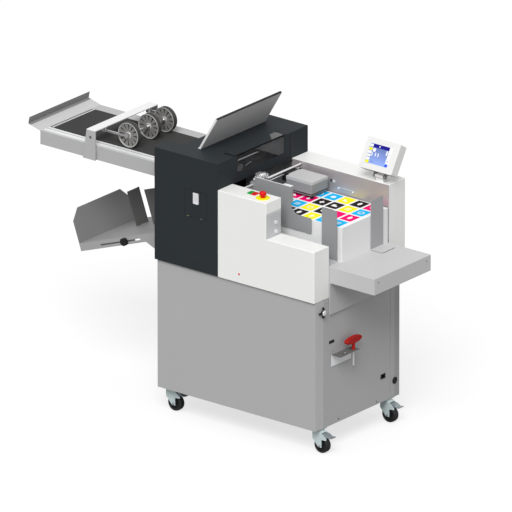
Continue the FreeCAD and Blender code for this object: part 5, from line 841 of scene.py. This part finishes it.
def clamp_knob():
    """Lobed clamping knob with its lever to the front."""
    piece = Piece("clamp_knob_dressed")
    axis = seat(KNOB_X, 238.0, 1124.4, "top")
    piece.lathe(
        [(0.0, 0.0), (13.9, 0.0), (13.9, 5.0), (11.0, 6.5), (11.0, 13.5), (0.0, 13.5)],
        axis, "chrome", 40,
    )
    piece.prism(lobed(30.0, 6.0, KNOB_LOBES, 12 * KNOB_LOBES), 13.0, 27.0, axis, "chrome", 1.6)
    piece.lathe(
        [(0.0, 31.8), (9.0, 31.4), (15.0, 30.0), (18.0, 27.6), (18.0, 26.5), (0.0, 26.5)],
        axis, "chrome", 40,
    )
    lever = seat(KNOB_X, 180.2, 1140.4, "back")
    piece.lathe(
        [(0.0, 0.0), (4.2, 0.8), (5.6, 4.0), (5.2, 12.0), (3.6, 16.0), (3.4, 36.0), (0.0, 36.0)],
        lever, "silver_key", 28,
    )
    piece.finish("clamp", "bare_steel", ["clamp_knob"], bevel=0.6)


TOOL_Y = 228.0
GRIP_HALF_LONG = 56.0
GRIP_HALF_HIGH = 18.0
GRIP_ROUND = 4.6


def adjusting_tool():
    """Hanging adjusting tool: bright shank, collar, neck and an oval grip."""
    piece = Piece("adjusting_tool_dressed")
    axis = seat(932.0, TOOL_Y, 370.0, "top")
    piece.lathe(
        [(0.0, 0.0), (2.4, 0.4), (3.9, 3.0), (3.9, 78.0), (0.0, 78.0)], axis, "shaft_steel", 28
    )
    neck = [
        (0.0, 77.4), (7.9, 77.4), (7.9, 81.0), (7.2, 82.0), (7.2, 108.0), (9.0, 114.0),
        (0.0, 114.0),
    ]
    piece.lathe(neck, axis, "tool_red", 36)
    grip = seat(922.4, TOOL_Y, 493.0, "right")
    oval = [
        (x * GRIP_HALF_LONG / GRIP_HALF_HIGH, y) for x, y in ring_points(GRIP_HALF_HIGH, 56)
    ]
    flip = Matrix.Rotation(math.pi, 4, "X")
    piece.prism(oval, 2.0, 13.0, grip, "tool_red")
    piece.prism(oval, 13.0, 17.0, grip, "tool_red", GRIP_ROUND)
    piece.prism(oval, -2.0, 2.0, grip @ flip, "tool_red", GRIP_ROUND)
    piece.finish("tool", "bare_steel", ["adjusting_tool"], smooth=40.0)


wing_latch()
clamp_knob()
adjusting_tool()


# ---------------------------------------- tray trims

TRAY = (
    Matrix.Translation(at(*TRAY_CORNER)) @ Matrix.Rotation(-TRAY_ANGLE, 4, "Y")
    @ Matrix.Scale(MM, 4)
)
TRAY_SIDE = TRAY @ Matrix.Rotation(math.pi / 2, 4, "X")


def box_outline(left, right, low, high):
    """Plain rectangle from its four limits."""
    return [(left, low), (right, low), (right, high), (left, high)]


def tray_trims():
    """Top edge of the tray's fence, and the strip of the gate that fills the tray's slot."""
    Piece("tray_fence_edge").prism(
        box_outline(270.0, 440.0, 140.0, 163.0), -215.4, -212.6, TRAY_SIDE, "gate_grey_and_painted_light"
    ).finish("machine", "sheet_grey")
    Piece("gate_slot_strip").prism(
        box_outline(119.0, 332.0, -22.6, -13.4), -3.4, -2.2, TRAY_SIDE, "icon_dark"
    ).finish("gate", "bare_steel")


tray_trims()


# ---------------------------------------- conveyor trims

BELT_MIDDLE = 307.0


def journal_cap(name, y, way):
    """Flat cap over the end of the drum's shaft."""
    Piece(f"journal_cap_{name}").lathe(
        [(0.0, 0.8), (10.2, 0.8), (11.0, 0.2), (11.0, -0.05), (0.0, -0.05)],
        seat(-698.0, y, 1107.7, way), "rail_grey", 40,
    ).finish("machine", "light_grey")


def belt_end_plate():
    """Dark plate beyond the belt's end, with a bright lip."""
    plate = seat(-711.0, BELT_MIDDLE, BELT_END_TOP, "top")
    lip = seat(-725.5, BELT_MIDDLE, BELT_END_TOP, "top")
    piece = Piece("belt_end_plate")
    piece.prism(rounded(24.0, 294.0, 0.6, 2), 0.0, 1.5, plate, "belt")
    piece.prism(rounded(5.0, 296.0, 0.6, 2), 0.0, 2.2, lip, "bright_trim_and_highlight")
    piece.finish("machine", "belt")


def bridge_trims():
    """Rim of the hole in the bridge's near leg, and the dark gusset under its far end."""
    Piece("bridge_hole").lathe(
        [(0.0, 0.3), (5.4, 0.3), (6.2, 0.6), (6.6, 0.3), (6.6, -0.05), (0.0, -0.05)],
        seat(-453.0, 87.0, 1168.0, "front"), "icon_dark", 32,
    ).finish("bridge", "light_grey")
    Piece("bridge_gusset").prism(
        [(490.0, 1201.5), (526.8, 1201.5), (526.8, 1180.0)], 0.0, 2.0,
        Matrix.Translation(at(-428.0, 0.0, 0.0)) @ SIDEWAYS, "icon_dark",
    ).finish("bridge", "light_grey")


journal_cap("near", 98.0, "front")
journal_cap("far", 520.0, "back")
belt_end_plate()
bridge_trims()


# ---------------------------------------- display

SCREEN_WIDE = 125.0
SCREEN_HIGH = 97.0
SCREEN_GAP = 0.4
RECESS_PLACE = Vector((22.0, 1.5, 32.0))
SCREEN_PLACE = Vector((25.6, 0.0, 27.3))
DISPLAY = Matrix.Translation(at(*DISPLAY_FOOT)) @ Matrix.Rotation(-DISPLAY_TILT, 4, "X")
UPRIGHT = Matrix.Rotation(math.pi / 2, 4, "X") @ Matrix.Scale(MM, 4)
RECESS = DISPLAY @ Matrix.Translation(RECESS_PLACE * MM) @ UPRIGHT
SCREEN = DISPLAY @ Matrix.Translation(SCREEN_PLACE * MM) @ UPRIGHT
KEY_WIDE = 17.6
KEY_HIGH = 11.6
KEY_LEVELS = (1.0, 14.0, 29.0, 44.0, 59.0, 75.0)
YELLOW_KEYS = (0, 4)
MARKS = (
    (23.0, 55.0, 15.0, 15.0), (22.0, 34.0, 5.0, 16.0), (41.0, 36.0, 5.0, 16.0),
    (56.0, 36.0, 5.0, 16.0), (97.0, 52.0, 7.0, 20.0), (51.0, 79.0, 7.0, 5.0),
)


def screen_bezel():
    """Pale plate that fills the display's recess behind the lit screen."""
    outline = rounded(
        SCREEN_WIDE - SCREEN_GAP, SCREEN_HIGH - SCREEN_GAP, 0.5, 2,
        (SCREEN_WIDE / 2, SCREEN_HIGH / 2),
    )
    Piece("screen_bezel").prism(outline, 0.0, 1.45, RECESS, "display_white").finish(
        "screen", "display_white"
    )


def screen_block(name, left, low, wide, high, material, level, radius=1.0):
    """One flat field or key of the lit screen."""
    outline = rounded(wide, high, radius, 3, (left + wide / 2, low + high / 2))
    Piece(f"screen_{name}").prism(outline, -0.2, level, SCREEN, material).finish(
        "screen", "display_white"
    )


def lit_screen():
    """Generic page: a header, a field with marks, and a column of keys on each side."""
    screen_block("field", 20.0, 0.0, 88.0, 90.0, "screen_field", 0.3, 0.5)
    screen_block("header", 18.0, 74.5, 91.0, 16.0, "screen_navy", 0.4, 0.5)
    screen_block("keys_left", 0.0, 0.0, 20.0, 90.0, "screen_steel", 0.3, 0.5)
    screen_block("keys_right", 108.0, 0.0, 16.5, 90.0, "screen_white", 0.3, 0.5)
    for number, low in enumerate(KEY_LEVELS):
        look = "screen_yellow" if number in YELLOW_KEYS else "screen_white"
        screen_block(f"key_left_{number}", 1.0, low, KEY_WIDE, KEY_HIGH, look, 0.8)
    for number, mark in enumerate(MARKS):
        screen_block(f"mark_{number}", *mark, "screen_white", 0.6)
    screen_block("key_corner", 109.0, 0.5, 14.5, 14.0, "screen_blue", 0.8)
    screen_block("key_small", 114.0, 24.0, 6.0, 5.0, "screen_steel", 0.6)
    screen_block("key_upper", 111.0, 56.0, 10.0, 1.6, "screen_steel", 0.6)
    screen_block("line_low", 28.0, 8.0, 16.0, 2.2, "icon_dark", 0.5)


screen_bezel()
lit_screen()


# ---------------------------------------- printed sheet

SHEET_X = (428.5, 903.5)
SHEET_Y = (179.5, 504.5)
SHEET_TOP = 0.06
CARD_TOP = 0.12
MARK_TOP = 0.2
MARK_LIFT = 0.01
CARD_COLUMNS = 6
CARD_ROWS = 4
CARD_STEP = (74.0, 82.0)
CARD_SIZE = (63.0, 71.0)
CARD_COLOURS = ("magenta", "ink", "cyan", "yellow", "ink", "magenta", "yellow", "cyan", "ink")
MOTIFS = ("disc", "bars", "plus", "corner", "ring", "step", "drop")
CORNER = [(-14, -14), (14, -14), (-14, 14)]
STEP = [(-15, -12), (15, -12), (15, 0), (3, 0), (3, 12), (-15, 12)]


def card_motif(piece, kind, matrix):
    """Simple white mark in the middle of a coloured card."""
    def mark(outline, lift=0.0):
        piece.prism(outline, CARD_TOP + lift, MARK_TOP + lift, matrix, "print_white")

    if kind == "disc":
        mark(ring_points(13.0, 28))
    elif kind == "ring":
        profile = [(10.0, CARD_TOP), (10.0, MARK_TOP), (16.0, MARK_TOP), (16.0, CARD_TOP)]
        piece.lathe(profile, matrix, "paper", 32)
    elif kind == "bars":
        for offset in (-10.0, 0.0, 10.0):
            mark(rounded(26.0, 5.0, 1.0, 2, (0.0, offset)))
    elif kind == "plus":
        mark(rounded(8.0, 30.0, 1.5, 2))
        mark(rounded(26.0, 8.0, 1.5, 2), MARK_LIFT)
    elif kind == "corner":
        mark(CORNER)
    elif kind == "step":
        mark(STEP)
    else:
        mark([(x * 0.7, y * (1.0 if y < 0 else 1.5)) for x, y in ring_points(13.0, 28)])


def printed_sheet():
    """Top sheet of the pile: rows of coloured cards, each with a plain mark."""
    piece = Piece("printed_sheet")
    left, right = SHEET_X
    front, back = SHEET_Y
    sheet = seat((left + right) / 2, (front + back) / 2, PILE_TOP, "top")
    piece.prism(rounded(right - left, back - front, 2.0, 3), 0.0, SHEET_TOP, sheet, "print_white")
    step_x, step_y = CARD_STEP
    margin_x = (right - left - CARD_COLUMNS * step_x) / 2
    margin_y = (back - front - CARD_ROWS * step_y) / 2
    for column in range(CARD_COLUMNS):
        for row in range(CARD_ROWS):
            x = left + margin_x + (column + 0.5) * step_x
            y = front + margin_y + (row + 0.5) * step_y
            place = seat(x, y, PILE_TOP, "top")
            colour = CARD_COLOURS[(column * 4 + row * 7) % len(CARD_COLOURS)]
            piece.prism(rounded(*CARD_SIZE, 4.0, 4), SHEET_TOP, CARD_TOP, place, colour)
            card_motif(piece, MOTIFS[(column * 3 + row * 5) % len(MOTIFS)], place)
    piece.finish("table", "paper")


printed_sheet()


# ---------------------------------------- trims

SCREW_PROUD = 1.8
SCREWS = (
    ("side_low_front", RIGHT_FACE, 78.0, 163.0, "right", 3.2, "bare_steel"),
    ("side_low_mid", RIGHT_FACE, 166.0, 128.0, "right", 3.0, "dark_steel"),
    ("side_low_back", RIGHT_FACE, 438.0, 127.0, "right", 3.0, "dark_steel"),
    ("side_post", RIGHT_FACE, 529.0, 162.0, "right", 3.2, "bare_steel"),
    ("latch_near", RIGHT_FACE, 66.5, 708.0, "right", 3.4, "bare_steel"),
    ("latch_far", RIGHT_FACE, 81.0, 708.0, "right", 3.4, "bare_steel"),
    ("bracket_near", 931.0, 169.0, BRACKET_TOP, "top", 3.4, "bare_steel"),
    ("bracket_far", 914.0, 207.0, BRACKET_TOP, "top", 3.4, "bare_steel"),
    ("rear_wall_left", 616.0, REAR_WALL, 1051.0, "front", 4.4, "chrome"),
    ("rear_wall_right", 698.0, REAR_WALL, 1051.0, "front", 4.4, "chrome"),
    ("housing_back", 618.0, 95.5, 1095.0, "back", 4.0, "bare_steel"),
)


PLATE_MARKS = ((3.0, 7.0, (-5.0, 0.0)), (5.0, 2.4, (2.0, 3.0)), (5.0, 2.4, (2.0, -3.0)))


def lower_trims():
    """Lamp in the front housing, slot and grommet in the right side."""
    Piece("front_lamp").lathe(
        [(0.0, 2.2), (2.6, 1.9), (4.4, 1.0), (5.0, 0.0), (5.0, -0.3)],
        seat(472.0, FRONT_FACE, 764.0, "front"), "red_key", 28,
    ).finish("machine", "red_key")
    slot = seat(RIGHT_FACE, 116.0, 508.0, "right")
    Piece("side_socket_slot").prism(
        rounded(36.0, 14.0, 2.0), -0.2, 0.9, slot, "black_plastic"
    ).finish("machine", "black_plastic", bevel=0.3)
    Piece("side_grommet").lathe(
        [(0.0, 0.6), (11.0, 0.6), (12.0, 2.6), (15.0, 2.8), (16.5, 1.6), (16.5, -0.2)],
        seat(RIGHT_FACE, 567.0, 190.0, "right"), "black_plastic", 40,
    ).finish("machine", "black_plastic")


def screws():
    """Screw heads of the fixed covers and of the pile table's right end."""
    for name, x, y, z, way, radius, look in SCREWS:
        screw(f"screw_{name}", "machine", x, y, z, way, radius, SCREW_PROUD, look)
    for name, y in (("near", 128.5), ("far", 470.5)):
        screw(f"screw_table_{name}", "table", 1152.0, y, 844.5, "right", 3.0, 1.2, "dark_steel")


def rear_wall_trims():
    """Small knob, hole and bright line on the wall behind the pile."""
    Piece("rear_wall_knob").lathe(
        [(0.0, 6.5), (4.5, 6.0), (6.0, 4.5), (6.0, 0.5), (9.5, 0.5), (9.5, -0.2)],
        seat(591.0, REAR_WALL, 1077.0, "front"), "plate_silver", 32,
    ).finish("machine", "bare_steel")
    Piece("rear_wall_hole").lathe(
        [(0.0, 0.3), (5.0, 0.3), (6.4, 1.2), (7.4, 0.8), (7.4, -0.2)],
        seat(576.0, REAR_WALL, 1079.0, "front"), "icon_dark", 32,
    ).finish("machine", "black_plastic")
    line = seat(657.0, REAR_WALL, 1056.0, "front")
    Piece("rear_wall_line").prism(
        rounded(82.0, 1.6, 0.7, 3), -0.2, 0.8, line, "bright_trim_and_highlight"
    ).finish("machine", "housing_white")


def feed_trims():
    """Sucker under the feed head, and the thin rod beside the tower."""
    Piece("suction_bellows").lathe(
        [
            (0.0, 0.0), (6.0, 0.0), (9.0, 2.0), (6.5, 4.0), (9.0, 6.0), (6.5, 8.0), (9.0, 10.0),
            (6.5, 12.0), (8.0, 14.0), (0.0, 14.0),
        ],
        seat(568.0, 388.0, 1040.2, "under"), "black_plastic", 28,
    ).finish("machine", "black_plastic")
    Piece("tower_side_rod").lathe(
        [(0.0, 0.0), (4.0, 0.4), (4.4, 5.0), (2.0, 6.5), (1.6, 8.0), (1.6, 128.0), (0.0, 128.0)],
        seat(352.7, 514.5, 1120.0, "top"), "dark_steel", 20,
    ).finish("machine", "bare_steel")


def behind_window():
    """What shows through the smoked side pane: a shaft, a light sheet and a bearing."""
    behind = Matrix.Translation(at(PANE_BACK, 0.0, 0.0)) @ SIDEWAYS
    Piece("window_shaft").lathe(
        [(0.0, 0.0), (2.3, 0.0), (2.3, 138.0), (0.0, 138.0)],
        seat(345.5, 140.0, 1229.0, "back"), "chrome", 24,
    ).finish("machine", "bare_steel")
    sheet = [(270.0, 1247.0), (432.0, 1167.0), (480.0, 1167.0), (480.0, 1247.0)]
    Piece("window_inner_sheet").prism(sheet, 0.0, 0.9, behind, "dark_grey_and_shade").finish(
        "machine", "sheet_grey"
    )
    bearing = Piece("window_bearing")
    block = [(138.0, 1174.0), (168.0, 1174.0), (178.0, 1192.0), (168.0, 1206.0), (138.0, 1206.0)]
    bearing.prism(block, 0.0, 1.6, behind, "dark_grey_and_shade")
    disc = seat(PANE_BACK, 190.0, 1203.0, "right")
    bearing.prism(ring_points(11.0, 32), 1.5, 2.6, disc, "black_plastic")
    pin = [(196.0, 1185.0), (238.0, 1193.0), (238.0, 1197.0), (196.0, 1189.0)]
    bearing.prism(pin, 0.0, 1.8, behind, "plate_silver")
    bearing.finish("machine", "bare_steel")


def window_top():
    """Dark film on the window's top pane, with a lighter patch of painted light where the lit
    plate inside would show, and the hinge line.
    """
    top = Matrix.Translation(at(0.0, 0.0, PANE_TOP)) @ Matrix.Scale(MM, 4)
    film = Piece("window_top_film")
    film.prism(box_outline(290.0, 349.6, 118.0, 481.0), -0.2, 0.2, top, "tower_black")
    # Painted light: the lighter patch stands in for the lit plate inside, seen through the top
    # pane.
    patch = [(299.0, 424.0), (348.0, 378.0), (348.0, 458.0), (299.0, 464.0)]
    film.prism(patch, 0.15, 0.3, top, "gate_grey_and_painted_light")
    film.finish("window", "tower_black")
    line = seat(284.5, 291.0, TOWER_TOP, "top")
    Piece("window_hinge_line").prism(
        rounded(1.8, 292.0, 0.8, 3), -0.2, 0.9, line, "dark_grey_and_shade"
    ).finish("machine", "tower_black")


def flat_marks():
    """A thin dark plate painted as the shadow under the end stop's foot, and small marks on the
    wall behind the inset plate.
    """
    shadow_seat = seat(941.0, 423.5, TABLE_TOP, "top")
    Piece("end_stop_shadow").prism(
        rounded(71.0, 92.0, 11.0, 6), 0.0, 0.32, shadow_seat, "icon_dark"
    ).finish("stop_end", "sheet_grey")
    wall = seat(KEY_WALL, 31.0, 986.0, "right")
    marks = Piece("key_plate_marks")
    for wide, high, centre in PLATE_MARKS:
        marks.prism(rounded(wide, high, 0.8, 3, centre), -0.1, 0.4, wall, "icon_dark")
    marks.finish("machine", "black_plastic")


lower_trims()
screws()
rear_wall_trims()
feed_trims()
behind_window()
window_top()
flat_marks()


# ---------------------------------------- stage, light and camera

FLOOR_HALF = 12.0
FLOOR_BOUNCE = 0.34
FLOOR_WHITE = 0.97
FLOOR_LIT = 0.7
AROUND_STRENGTH = 0.56
MIRROR_STRENGTH = 0.85
SEEN_STRENGTH = 1.0
SUN_STRENGTH = 2.45
SUN_WIDTH = math.radians(32)
SUN_FROM = Vector((0.22, -0.40, 0.5))
LENS = 1500
SENSOR = 36
FAR_CLIP = 300
AZIMUTH = math.radians(38.70)
ELEVATION = math.radians(20.68)
LOOK_AT = Vector((0.1534, -0.0130, 0.7232))
VIEW_WIDTH = 2.2756


def grey(value):
    return (value, value, value, 1.0)


def pale_floor():
    """Floor that looks white to the camera and throws only a little light back."""
    data = bpy.data.meshes.new("floor")
    corners = [(x, y, 0) for x, y in box_outline(-FLOOR_HALF, FLOOR_HALF, -FLOOR_HALF, FLOOR_HALF)]
    data.from_pydata(corners, [], [(0, 1, 2, 3)])
    floor = bpy.data.objects.new("floor", data)
    SCENE.collection.objects.link(floor)
    material, tree = new_material("floor_white")
    path = node(tree, "LightPath")
    dull = node(tree, "BsdfDiffuse", {"Color": grey(FLOOR_BOUNCE)})
    white = node(tree, "BsdfDiffuse", {"Color": grey(FLOOR_WHITE)})
    lit = node(tree, "Emission", {"Color": grey(1.0), "Strength": 1.0})
    seen = node(tree, "MixShader", {0: FLOOR_LIT, 1: white.outputs[0], 2: lit.outputs[0]})
    both = node(
        tree, "MixShader",
        {0: path.outputs["Is Camera Ray"], 1: dull.outputs[0], 2: seen.outputs[0]},
    )
    finish_material(tree, both.outputs[0])
    data.materials.append(material)


def studio():
    """Even white surroundings and one wide soft lamp from the front right."""
    world = bpy.data.worlds.new("studio")
    SCENE.world = world
    world.use_nodes = True
    tree = world.node_tree
    tree.nodes.clear()
    path = node(tree, "LightPath")
    around, mirror, seen = (
        node(tree, "Background", {"Color": grey(1.0), "Strength": strength})
        for strength in (AROUND_STRENGTH, MIRROR_STRENGTH, SEEN_STRENGTH)
    )
    through = math_node(
        tree, "MAXIMUM", path.outputs["Is Camera Ray"], path.outputs["Is Transmission Ray"]
    )
    glossy = node(
        tree, "MixShader",
        {0: path.outputs["Is Glossy Ray"], 1: around.outputs[0], 2: mirror.outputs[0]},
    )
    both = node(tree, "MixShader", {0: through, 1: glossy.outputs[0], 2: seen.outputs[0]})
    output = node(tree, "OutputWorld")
    tree.links.new(both.outputs[0], output.inputs["Surface"])
    sun = bpy.data.lights.new("sun", "SUN")
    sun.energy = SUN_STRENGTH
    sun.angle = SUN_WIDTH
    lamp = bpy.data.objects.new("sun", sun)
    SCENE.collection.objects.link(lamp)
    lamp.rotation_mode = "QUATERNION"
    lamp.rotation_quaternion = SUN_FROM.to_track_quat("Z", "Y")


def camera():
    """Long lens from the front right, a little above the machine."""
    data = bpy.data.cameras.new("camera")
    thing = bpy.data.objects.new("camera", data)
    SCENE.collection.objects.link(thing)
    SCENE.camera = thing
    data.lens = LENS
    data.sensor_width = SENSOR
    data.clip_end = FAR_CLIP
    level = math.cos(ELEVATION)
    back = Vector((math.sin(AZIMUTH) * level, -math.cos(AZIMUTH) * level, math.sin(ELEVATION)))
    thing.location = LOOK_AT + back * (VIEW_WIDTH * LENS / SENSOR)
    thing.rotation_mode = "QUATERNION"
    thing.rotation_quaternion = (-back).to_track_quat("-Z", "Y")


pale_floor()
studio()
camera()
SCENE.view_settings.view_transform = "Standard"
